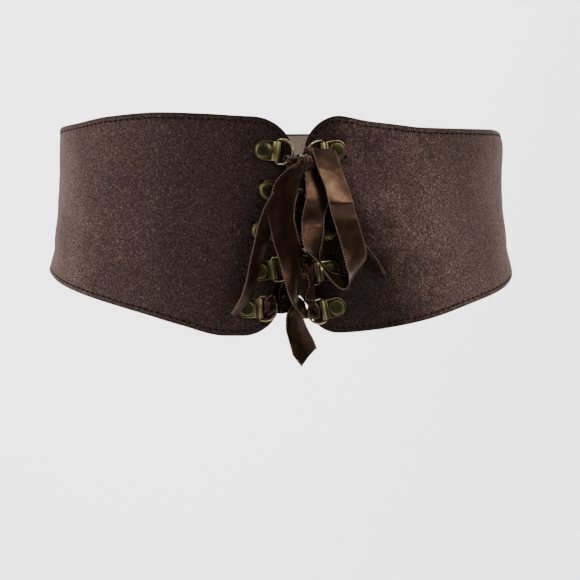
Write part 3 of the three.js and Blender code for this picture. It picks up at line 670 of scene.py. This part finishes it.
def make_stitches(name, panel):
    """A thread and a needle hole at every stitch, each a run of rings: shift, size, lift. The hole is a
    near-black disc, painted shade.
    """
    path = panel_outline(panel, STITCH_INSET)
    path = path[path[:, 0] < HALF_GIRTH - SEAM_CLEAR]
    steps = distances(path)
    count = round(steps[-1] / STITCH_PITCH)
    pitch = steps[-1] / count
    points, faces, hole_shades = [], [], []
    thread_rings = [(-0.5, 0.3, -0.3), (-0.3, 0.9, 0.02), (0, 1, 0.1), (0.3, 0.9, 0.02), (0.5, 0.3, -0.3)]
    hole_rings = [(-0.17, 0.2, -0.1), (-0.13, 0.75, -0.08), (0, 1, -0.06), (0.13, 0.75, -0.08),
                  (0.17, 0.2, -0.1)]

    def add_run(centre, rings, radius, flatness, sides, hole):
        base = len(points)
        for shift, size, lift in rings:
            at = np.clip(centre + shift * pitch, 0.01, steps[-1] - 0.5)
            run, level = (np.interp(at, steps, path[:, k]) for k in (0, 1))
            run_on, level_on = (np.interp(at + 0.4, steps, path[:, k]) for k in (0, 1))
            origin, _, _, out = frame_at(panel["side"] * run, level)
            forward = unit(face_point(panel["side"] * run_on, level_on) - origin)
            across = unit(np.cross(out, forward))
            middle = origin + out * (lift - 0.14)
            for k in range(sides):
                turn = 2 * math.pi * k / sides
                reach = across * math.cos(turn) + out * flatness * math.sin(turn)
                points.append(middle + size * radius * reach)
                hole_shades.append(hole)
        for r in range(len(rings) - 1):
            for k in range(sides):
                a = base + r * sides + k
                b = base + r * sides + (k + 1) % sides
                faces.append((a, b, b + sides, a + sides))
        faces.append(tuple(base + k for k in reversed(range(sides))))
        faces.append(tuple(base + (len(rings) - 1) * sides + k for k in range(sides)))

    for i in range(count):
        add_run((i + 0.5) * pitch, thread_rings, STITCH_RADIUS, 1.0, 6, 0.0)
        add_run(i * pitch, hole_rings, HOLE_RADIUS, 0.3, 8, 1.0)
    obj = mesh_object(name, np.array(points) * MM, faces)
    mark(obj, "hole", hole_shades)
    outwards(obj, 0.0000001)
    settle(obj, thread, "suede")


# Places of the lace loops: x points at the ring's apex, y up the belt and z off its face
BAR_HOLE = RING_WIRE / 2 + CLEARANCE
BAR_LIFT = CLEARANCE + CLIP_SHEET + BAR_HOLE
CLIP_TOP = CLEARANCE + 2 * CLIP_SHEET


def loop_places():
    places = {}
    for number, row in enumerate(LOOPS):
        for name, panel in PANELS.items():
            word = name.split("_")[0]
            side = panel["side"]
            inset, tilt, lift = row[word]
            level = ROW_TOP - row["drop"] * ROW_SPAN
            run = side * (front_edge(panel, level) + inset * RIVET_INSET)
            origin, right, up, out = frame_at(run, level)
            tilt = math.radians(tilt)
            axis = -side * right * math.cos(tilt) - up * math.sin(tilt)
            across = np.cross(out, axis)
            matrix = Matrix(np.column_stack([axis, across, out]).tolist()).to_4x4()
            matrix.translation = Vector(origin)
            swing = Matrix.Rotation(-math.radians(lift), 4, "Y")
            ring = matrix @ Matrix.Translation((RIVET_TO_BAR, 0, BAR_LIFT)) @ swing
            places[f"{word}_{number + 1}"] = (side, matrix, ring)
    return places


loops = loop_places()


def in_metres(matrix):
    moved = matrix.copy()
    moved.translation = matrix.translation * MM
    return moved


# Brass pieces, each modelled once in millimetre sizes and copied to its ten places
def select_where(test, kind="faces"):
    mesh = bmesh.from_edit_mesh(bpy.context.edit_object.data)
    bpy.ops.mesh.select_all(action="DESELECT")
    bpy.ops.mesh.select_mode(type=kind[:-1].upper())
    for item in getattr(mesh, kind):
        item.select_set(test(item))
    mesh.select_flush_mode()
    bmesh.update_edit_mesh(bpy.context.edit_object.data)


def extrude_to(z, radius, now):
    """Extrudes the selected round face to a height and a radius, from the radius it has now."""
    bpy.ops.mesh.extrude_region_move(TRANSFORM_OT_translate={"value": (0, 0, z * MM)})
    share = radius / now
    bpy.ops.transform.resize(value=(share, share, 1))


def start_primitive(add, **values):
    pick_nothing()
    add(**values)
    return bpy.context.object


def finish_brass(obj, name, bevel=0.0, angle=35):
    pick(obj)
    bpy.ops.object.transform_apply(location=True, rotation=True, scale=True)
    if bevel:
        modifier = obj.modifiers.new("edge", "BEVEL")
        modifier.width = bevel * MM
        modifier.segments = 2
        modifier.limit_method = "ANGLE"
        modifier.angle_limit = math.radians(35)
        bpy.ops.object.modifier_apply(modifier="edge")
    outwards(obj, 0.000001)
    bpy.ops.object.shade_smooth_by_angle(angle=math.radians(angle))
    obj.name = name
    return obj


# Rivet heads: shares of the cap's radius and rise
DOME = [(0.93, 0), (0.985, 0.1), (1, 0.24), (0.985, 0.4), (0.93, 0.56), (0.83, 0.7), (0.68, 0.83),
        (0.5, 0.92), (0.3, 0.975), (0.1, 1.0)]
FLAT = [(0.8, 0), (0.86, 0.06), (0.88, 0.2), (0.87, 0.36), (0.83, 0.48), (0.76, 0.54), (0.6, 0.58),
        (0.35, 0.62), (0.12, 0.63)]


def model_rivet(cap):
    inside = -WALL - CLEARANCE
    under = CLIP_TOP + CLEARANCE
    rivet = start_primitive(bpy.ops.mesh.primitive_cylinder_add, vertices=36, radius=BACK_CAP_RADIUS * MM,
                            depth=BACK_CAP_RISE * MM, location=(0, 0, (inside - BACK_CAP_RISE / 2) * MM))
    bpy.ops.object.transform_apply(location=True, rotation=False, scale=False)
    bpy.ops.object.mode_set(mode="EDIT")
    top = (inside - 0.01) * MM
    select_where(lambda f: f.normal.z > 0.9 and f.calc_center_median().z > top)
    bpy.ops.mesh.inset(thickness=(BACK_CAP_RADIUS - SHANK_RADIUS) * MM)
    extrude_to(under - inside, SHANK_RADIUS, SHANK_RADIUS)
    now, height = SHANK_RADIUS, 0.0
    for share, rise in cap:
        extrude_to(rise * CAP_RISE - height, share * CAP_RADIUS, now)
        now, height = share * CAP_RADIUS, rise * CAP_RISE
    bottom = (inside - BACK_CAP_RISE + 0.01) * MM
    select_where(lambda f: f.normal.z < -0.9 and f.calc_center_median().z < bottom)
    bpy.ops.mesh.bevel(offset=0.4 * MM, segments=3, affect="EDGES")
    return finish_brass(rivet, "rivet_model")


FOLD_ANGLE = 200


def model_clip():
    half = CLIP_HEIGHT / 2
    low = CLEARANCE + CLIP_SHEET / 2
    high = low + CLIP_SHEET + 0.03
    centre = ((RIVET_TO_BAR - half) / 2 * MM, 0, low * MM)
    clip = start_primitive(bpy.ops.mesh.primitive_plane_add, size=1, location=centre)
    clip.scale = ((RIVET_TO_BAR + half) * MM, CLIP_HEIGHT * MM, 1)
    bpy.ops.object.transform_apply(location=True, rotation=True, scale=True)
    bpy.ops.object.mode_set(mode="EDIT")
    end = (RIVET_TO_BAR - 0.05) * MM
    select_where(lambda e: all(v.co.x > end for v in e.verts), "edges")
    # The sheet folds over the ring's bar and comes back on itself
    bpy.ops.mesh.spin(steps=14, angle=math.radians(FOLD_ANGLE), axis=(0, 1, 0),
                      center=(RIVET_TO_BAR * MM, 0, BAR_LIFT * MM))
    radius = BAR_LIFT - low
    ended = math.radians(FOLD_ANGLE - 90)
    x = RIVET_TO_BAR + radius * math.cos(ended)
    z = BAR_LIFT + radius * math.sin(ended)
    for next_x, next_z in ((x - 0.75, high + 0.85), (x - 1.35, high + 0.15), (x - 2.0, high), (-half, high)):
        step = ((next_x - x) * MM, 0, (next_z - z) * MM)
        bpy.ops.mesh.extrude_region_move(TRANSFORM_OT_translate={"value": step})
        x, z = next_x, next_z
    bpy.ops.object.mode_set(mode="OBJECT")
    clip.data.materials.append(brass)
    clip.data.materials.append(highlit_brass)
    solid = clip.modifiers.new("sheet", "SOLIDIFY")
    solid.thickness = CLIP_SHEET * MM
    solid.offset = 0
    bpy.ops.object.modifier_apply(modifier="sheet")
    # Round end and rivet hole
    deep = 20 * MM
    plan = start_primitive(bpy.ops.mesh.primitive_cylinder_add, vertices=48, radius=half * MM, depth=deep)
    bpy.ops.object.mode_set(mode="EDIT")
    select_where(lambda v: v.co.x > 0.01 * MM, "verts")
    bpy.ops.transform.translate(value=(3 * RIVET_TO_BAR * MM, 0, 0))
    bpy.ops.object.mode_set(mode="OBJECT")
    hole = start_primitive(bpy.ops.mesh.primitive_cylinder_add, vertices=24,
                           radius=(SHANK_RADIUS + CLEARANCE) * MM, depth=deep)
    for cutter, kind in ((plan, "INTERSECT"), (hole, "DIFFERENCE")):
        pick(clip)
        cut = clip.modifiers.new("cut", "BOOLEAN")
        cut.operation = kind
        cut.object = cutter
        cut.solver = "EXACT"
        bpy.ops.object.modifier_apply(modifier="cut")
        bpy.data.objects.remove(cutter, do_unlink=True)
    pick(clip)
    bpy.ops.object.mode_set(mode="EDIT")
    top = (high + CLIP_SHEET / 2 - 0.05) * MM

    def on_top(face):
        return face.normal.z > 0.99 and face.calc_center_median().z > top

    # A rim round the top in lighter brass, a painted highlight, with the face inside it pressed in a little
    select_where(lambda f: on_top(f) and f.calc_center_median().x < 5.5 * MM)
    bpy.ops.mesh.inset(thickness=0.6 * MM, depth=0)
    for face in bmesh.from_edit_mesh(clip.data).faces:
        if on_top(face) and not face.select:
            face.material_index = 1
    bpy.ops.mesh.inset(thickness=0.18 * MM, depth=-0.16 * MM)
    return finish_brass(clip, "clip_model", bevel=0.14)


def model_ring():
    half = RING_HEIGHT / 2
    bend = RING_WIRE
    bow = RING_REACH - half
    ring = start_primitive(bpy.ops.mesh.primitive_circle_add, vertices=14, radius=WIRE_SHOWN / 2 * MM,
                           rotation=(math.pi / 2, 0, 0))
    bpy.ops.object.transform_apply(location=False, rotation=True, scale=False)
    bpy.ops.object.mode_set(mode="EDIT")
    bpy.ops.mesh.select_all(action="SELECT")

    def go(x, y):
        bpy.ops.mesh.extrude_region_move(TRANSFORM_OT_translate={"value": (x * MM, y * MM, 0)})

    def turn(degrees, x, y, steps):
        bpy.ops.mesh.spin(steps=steps, angle=math.radians(degrees), center=(x * MM, y * MM, 0),
                          axis=(0, 0, 1))

    go(0, half - bend)
    turn(90, bend, half - bend, 6)
    go(bow - bend, 0)
    turn(180, bow, 0, 26)
    go(bend - bow, 0)
    turn(90, bend, bend - half, 6)
    go(0, half - bend)
    ring = finish_brass(ring, "ring_model", angle=60)
    ring.data.materials.append(ring_brass)
    return ring


def copy_brass(model, name, node, matrix):
    obj = model.copy()
    obj.data = model.data.copy()
    obj.name = name
    obj.data.transform(in_metres(matrix))
    bpy.context.scene.collection.objects.link(obj)
    settle(obj, brass, "brass", node)


# Satin ribbon: thin, with a selvedge on each side, its spare width turned under along one edge
def centripetal(points, ts):
    """Points on a smooth curve through the given ones, at shares of its way."""
    points = np.asarray(points, float)
    n = len(points)
    out = []
    for t in ts:
        p = (n - 1) * t
        i = min(int(p), n - 2)
        w = p - i
        p1, p2 = points[i], points[i + 1]
        p0 = points[i - 1] if i > 0 else 2 * points[0] - points[1]
        p3 = points[i + 2] if i + 2 < n else 2 * points[-1] - points[-2]
        d0, d1, d2 = (max(np.linalg.norm(b - a) ** 0.5, 1e-4) for a, b in ((p0, p1), (p1, p2), (p2, p3)))
        t1 = ((p1 - p0) / d0 - (p2 - p0) / (d0 + d1) + (p2 - p1) / d1) * d1
        t2 = ((p2 - p1) / d1 - (p3 - p1) / (d1 + d2) + (p3 - p2) / d2) * d1
        out.append(p1 + t1 * w + (3 * (p2 - p1) - 2 * t1 - t2) * w * w + (2 * (p1 - p2) + t1 + t2) * w ** 3)
    return np.array(out)


def hand(v, seed):
    return noise.noise(Vector((float(v), seed, 0.5)))


def turned_section(width, full, seed, at, ripple, ridge):
    """The line across a ribbon, with its spare width turned under along its second edge."""
    fold = 0.42
    count = 26
    spare = min(full - width, 0.92 * width + math.pi * fold)
    total = width + max(spare, 0)
    line = []
    for k in range(count + 1):
        s = total * k / count
        if s <= width:
            u = s / width
            crown = 0.5 * (1 - (2 * u - 1) ** 2) * (0.6 + 0.8 * hand(at * 0.06, seed))
            crown += ridge * width / full * (1 - abs(2 * u - 1) ** 1.3)
            wave = ripple * math.sin(2 * math.pi * (1.5 * u + 0.3 * hand(at * 0.05, seed + 3)))
            line.append((s - width / 2, crown + wave * u * (1 - u) * 4))
        elif s <= width + math.pi * fold:
            turn = (s - width) / fold
            line.append((width / 2 + fold * math.sin(turn), -fold * (1 - math.cos(turn))))
        else:
            line.append((width / 2 - (s - width - math.pi * fold), -2 * fold))
    return np.array(line)


def folded_section(width, full, at):
    """Ribbon laid in folds, as where it is laced: one layer as wide as shown, the rest behind it."""
    fold = 0.24
    second = min(width, max(full - width - 0.6, 0.6))
    reaches = [width, second, min(0.94 * width, max(full - width - second, 0.6))]
    line = []
    x, way = -width / 2, 1
    for layer, reach in enumerate(reaches):
        depth = (1 - layer) * 2 * fold
        for share in np.linspace(0, 1, 8):
            at_x = x + way * reach * share
            crown = 0.25 * (1 - (2 * at_x / width) ** 2)
            wave = 0.1 * math.sin(2.5 * at_x / width + at * 0.2)
            line.append((at_x, depth + crown + wave))
        x += way * reach
        if layer < 2:
            edge = line[-1]
            for turn in (40, 90, 140):
                a = math.radians(turn)
                line.append((x + way * fold * math.sin(a), edge[1] - fold * (1 - math.cos(a))))
            way = -way
    return np.array(line)


def sweep_ribbon(name, centres, acrosses, sections, lengths):
    """Closed thin ribbon: centres and acrosses along it, a 2-D line across it at each."""
    along = unit(np.gradient(centres, axis=0))
    acrosses = unit(acrosses)
    normals = unit(np.cross(along, acrosses))
    points, uvs = [], []
    for i, line in enumerate(sections):
        n = len(line)
        tangent = np.gradient(line, axis=0)
        tangent /= np.linalg.norm(tangent, axis=1)[:, None]
        off = np.stack([-tangent[:, 1], tangent[:, 0]], axis=1)
        steps = distances(line)
        edge = np.minimum(steps, steps[-1] - steps)
        thick = RIBBON_THICK / 2 + 0.09 * np.exp(-((edge / 0.45) ** 2)) * (edge < 1)
        for sign, order in ((1, range(n)), (-1, range(n - 1, -1, -1))):
            for k in order:
                x, z = line[k] + sign * off[k] * thick[k]
                points.append(centres[i] + acrosses[i] * x + normals[i] * z)
                uvs.append((steps[k] / steps[-1], lengths[i] * MM))
    around = len(sections[0]) * 2
    faces = []
    for i in range(len(centres) - 1):
        for k in range(around):
            a, b = i * around + k, i * around + (k + 1) % around
            faces.append((a, b, b + around, a + around))
    half = around // 2
    last = (len(centres) - 1) * around
    for k in range(half - 1):
        m = around - 1 - k
        faces.append((k + 1, k, m, m - 1))
        faces.append((last + k, last + k + 1, last + m - 1, last + m))
    obj = mesh_object(name, np.array(points) * MM, faces)
    lay_uv(obj, uvs)
    outwards(obj, 0.0000001)
    bpy.ops.object.shade_smooth_by_angle(angle=math.radians(50))
    return obj


# The bow: each strand follows its own rows, from the knot outwards and, in a loop, back again
HIGHEST = max(max(row["left"][2], row["right"][2]) for row in LOOPS)
RING_TOP = BAR_LIFT + RING_REACH * math.sin(math.radians(HIGHEST)) + RING_WIRE
BOW_WHOLE = RING_TOP + SOLID_THICK + BOW_STAND
knot_centre = place(KNOT_RUN, BOW_LEVEL, KNOT_LIFT * BOW_WHOLE)


def make_strand(name, rows, seed, ridge):
    firsts, seconds = [], []
    for run, level, lift, width, turn, roll in rows:
        origin, right, up, out = frame_at(run * BOW_REACH, BOW_LEVEL - level * BOW_FALL)
        centre = origin + out * lift * BOW_WHOLE
        turn, roll = math.radians(turn), math.radians(roll)
        level_across = right * math.cos(turn) + up * math.sin(turn)
        across = level_across * math.cos(roll) - out * math.sin(roll)
        across = across * width * RIBBON_WIDTH / 2
        firsts.append(centre - across)
        seconds.append(centre + across)
    ts = np.linspace(0, 1, 9 * len(rows))
    a, b = centripetal(firsts, ts), centripetal(seconds, ts)
    centres = (a + b) / 2
    steps = distances(centres)
    sections = []
    for at, width in zip(steps, np.linalg.norm(b - a, axis=1)):
        ripple = 0.9 * max(0.0, 1 - width / (0.75 * RIBBON_WIDTH))
        sections.append(turned_section(min(width, RIBBON_WIDTH), RIBBON_WIDTH, seed, at, ripple, ridge))
    obj = sweep_ribbon(name + "_satin", centres, b - a, sections, steps)
    # Glossier satin on the right loop is a painted highlight, the duller satin elsewhere is painted shade
    settle(obj, satin if name == "bow_loop_right" else shaded_satin, "ribbon", name)


# Lacing: one ribbon from the left top ring down to the bottom bar and up again to the right top ring
def ring_point(angle):
    def soft(value):
        return math.copysign(abs(value) ** 0.86, value)
    return Vector((RING_REACH * soft(math.cos(angle)), RING_HEIGHT / 2 * soft(math.sin(angle)), 0))


def wire_end(name, degrees, over):
    side, _, ring = loops[name]
    point = ring @ ring_point(math.radians(-side * degrees))
    normal = (ring.to_3x3() @ Vector((0, 0, 1))).normalized()
    off = RING_WIRE / 2 + SOLID_THICK / 2 + LACE_LIFT
    return np.array(point + normal * (off if over else -off)), np.array(normal)


FRONT = np.array([0.0, -1.0, 0.0])


def lace_route():
    """Stations (centre, face direction, width) along the whole lacing."""
    def inside(name):
        """Through a ring, gathered."""
        side, _, ring = loops[name]
        normal = np.array(ring.to_3x3() @ Vector((0, 0, 1)))
        return [(np.array(ring @ Vector((4.9, -side * y, z))), normal, width)
                for y, z, width in ((-2.4, -0.7, 3.4), (0, 0, 2.8), (2.4, 0.7, 3.4))]

    def leg(start, end, stand, rise):
        """From one ring's wire to another's, spread out between them."""
        (p, n), (q, m) = start, end
        along = unit(q - p)

        def flat(point, normal, forward):
            return point + unit(along - normal * (along @ normal)) * forward

        between = []
        for share, spread in ((0.3, 0.85), (0.5, 1), (0.7, 0.85)):
            hump = rise * 4 * share * (1 - share) * (1.4 - 0.8 * share)
            centre = p + (q - p) * share + FRONT * stand + np.array([0, 0, hump])
            between.append((centre, FRONT, spread * LACE_SPREAD))
        return [(flat(p, n, -0.6 * LACE_END), n, 4.4), (p, n, 5.2), (flat(p, n, RING_WIRE), n, 5.6),
                *between,
                (flat(q, m, -RING_WIRE), m, 5.6), (q, m, 5.2), (flat(q, m, 0.6 * LACE_END), m, 4.4)]

    def strap(name):
        """From a top ring to the knot."""
        side, _, ring = loops[name]
        start, normal = wire_end(name, -STRAP_ANGLE, True)
        along = unit(knot_centre - start)
        level = unit(along - normal * (along @ normal))
        return [(np.array(ring @ Vector((7.0, side * 3.2, -0.3))), normal, 2.8),
                (start - level * 0.25 * LACE_END, normal, 3.2), (start, normal, 3.6),
                (start + level * RING_WIRE, normal, 3.8),
                (knot_centre - along * 3.0, FRONT, 0.8 * LACE_WIDTH)]

    rows = len(LOOPS)

    def climb(here, there):
        """From a bottom ring up across every pair, in front from the right and behind from the left."""
        stations = []
        for row in range(rows, 1, -1):
            stand = LACE_STAND if here == "right" else -LACE_STAND
            humps = LOW_HUMPS if row == rows else LACE_HUMPS
            stations += inside(f"{here}_{row}")
            stations += leg(wire_end(f"{here}_{row}", LACE_ANGLE, True),
                            wire_end(f"{there}_{row - 1}", -LACE_ANGLE, False), stand, humps[here])
            here, there = there, here
        return stations + strap(f"{here}_1")

    bottom = leg(wire_end(f"left_{rows}", 0, False), wire_end(f"right_{rows}", 0, False), 0, BOTTOM_HUMP)
    return climb("left", "right")[::-1] + bottom + climb("right", "left")


def make_lacing():
    points, normals, widths = zip(*lace_route())
    ts = np.linspace(0, 1, 5 * len(points))
    centres = centripetal(points, ts)
    faces = centripetal(normals, ts)
    wide = centripetal([[width, 0, 0] for width in widths], ts)[:, 0]
    acrosses = np.cross(unit(np.gradient(centres, axis=0)), faces)
    steps = distances(centres)
    sections = [folded_section(w, RIBBON_WIDTH, at) for w, at in zip(wide, steps)]
    obj = sweep_ribbon("lacing_satin", centres, acrosses, sections, steps)
    nodes = [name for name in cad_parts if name.startswith(("lace_", "strap_"))]
    settle(obj, shaded_satin, "ribbon", *nodes)


def make_knot():
    """Ribbon drawn tight round the bow's middle: pleats that run over it and close in at its ends."""
    rows, turns = 40, 56
    points, uvs, faces = [], [], []
    for i in range(rows + 1):
        polar = math.pi * i / rows
        for j in range(turns):
            turn = 2 * math.pi * j / turns
            x = math.cos(polar)
            pleat = 0.1 * math.sin(9 * x + 0.8 * math.sin(turn)) * math.sin(polar) ** 0.5
            lump = 0.1 * noise.noise(Vector((2 * x, 1.3 * math.sin(turn), 1.3 * math.cos(turn))))
            size = math.sin(polar) ** 0.8 * (1 + pleat + lump)
            points.append(knot_centre + np.array([KNOT_HALF[0] * x, -KNOT_HALF[2] * size * math.sin(turn),
                                                  KNOT_HALF[1] * size * math.cos(turn)]))
            uvs.append((0.08 + 0.84 * i / rows, 0.03 * j / turns))
    for i in range(rows):
        for j in range(turns):
            k = (j + 1) % turns
            faces.append((i * turns + j, i * turns + k, (i + 1) * turns + k, (i + 1) * turns + j))
    obj = mesh_object("knot_satin", np.array(points) * MM, faces)
    lay_uv(obj, uvs)
    outwards(obj)
    settle(obj, shaded_satin, "ribbon", "knot")


for node, panel in PANELS.items():
    make_panel(node, panel)
    make_stitches(node.replace("panel", "stitching"), panel)

models = {"domed": model_rivet(DOME), "flat": model_rivet(FLAT), "clip": model_clip(), "ring": model_ring()}
for name, (_, matrix, ring_matrix) in loops.items():
    head = "flat" if name in FLAT_HEADS else "domed"
    copy_brass(models["clip"], f"brass_clip_{name}", f"clip_{name}", matrix)
    copy_brass(models["ring"], f"brass_ring_{name}", f"ring_{name}", ring_matrix)
    copy_brass(models[head], f"brass_rivet_{name}", f"rivet_{name}", matrix)
for model in models.values():
    bpy.data.objects.remove(model, do_unlink=True)

make_lacing()
for seed, (name, rows) in enumerate(BOW.items(), 11):
    make_strand(name, rows, float(seed), RIDGES.get(name, 0.0))
make_knot()


# Studio: a pale floor that curves up into a backdrop, soft lights and the camera
def make_studio():
    floor, wall, back, top, reach = -0.9, 2.8, 1.4, 5.0, 12.0
    profile = [(-reach, floor)]
    for k in range(13):
        a = math.radians(90 * k / 12)
        profile.append((wall - back + back * math.sin(a), floor + back * (1 - math.cos(a))))
    profile.append((wall, top))
    points = [(x, y, z) for y, z in profile for x in (-reach, reach)]
    faces = [(2 * k, 2 * k + 1, 2 * k + 3, 2 * k + 2) for k in range(len(profile) - 1)]
    studio = mesh_object("studio_floor", points, faces)
    n = Nodes("pale_floor")
    n.give(Base_Color=(0.84, 0.84, 0.845), Roughness=0.9)
    studio.data.materials.append(n.material)


def add_light(name, place_at, size, power, color=(1, 1, 1), target=(0, 0, 0)):
    data = bpy.data.lights.new(name, "AREA")
    data.shape = "RECTANGLE"
    data.size, data.size_y = size
    data.energy = power
    data.color = color
    light = new_object(name, data)
    light.location = place_at
    light.rotation_euler = (Vector(target) - Vector(place_at)).to_track_quat("-Z", "Y").to_euler()


make_studio()
add_light("key", (0.9, -1.6, 0.85), (0.6, 0.6), 16.5, (1.0, 0.95, 0.9))
add_light("left_front", (-0.95, -1.3, 0.95), (0.5, 0.5), 2.5)
add_light("left_side", (-1.4, -0.3, 0.5), (0.8, 1.4), 16)
add_light("right_side", (1.4, 0.3, 0.5), (0.8, 1.4), 17)
add_light("backdrop", (0.0, 0.9, 2.2), (3.0, 0.6), 400, target=(0, 2.8, 0.9))
world = bpy.data.worlds.new("studio")
bpy.context.scene.world = world
world.use_nodes = True
background = world.node_tree.nodes["Background"]
background.inputs["Color"].default_value = (0.93, 0.95, 1.0, 1)
background.inputs["Strength"].default_value = 0.09

# Camera: SCALE is metres a pixel at the belt's middle, which shows at ORIGIN_PX
AZIMUTH, ELEVATION, DISTANCE, SCALE = -7.0, 6.0, 1.3, 0.000695
IMAGE_PX, ORIGIN_PX, SENSOR = 580, (281.3, 206), 36
az, el = math.radians(AZIMUTH), math.radians(ELEVATION)
toward = Vector((math.sin(az) * math.cos(el), -math.cos(az) * math.cos(el), math.sin(el)))
sideways = Vector((math.cos(az), math.sin(az), 0))
upward = sideways.cross(-toward)
camera_data = bpy.data.cameras.new("camera")
camera_data.sensor_width = SENSOR
camera_data.lens = DISTANCE / SCALE / IMAGE_PX * SENSOR
camera_data.clip_start, camera_data.clip_end = 0.01, 50
camera = new_object("camera", camera_data)
shown_at = ((ORIGIN_PX[0] - IMAGE_PX / 2) * SCALE, (IMAGE_PX / 2 - ORIGIN_PX[1]) * SCALE)
camera.location = toward * DISTANCE - sideways * shown_at[0] - upward * shown_at[1]
camera.rotation_euler = (-toward).to_track_quat("-Z", "Y").to_euler()
bpy.context.scene.camera = camera
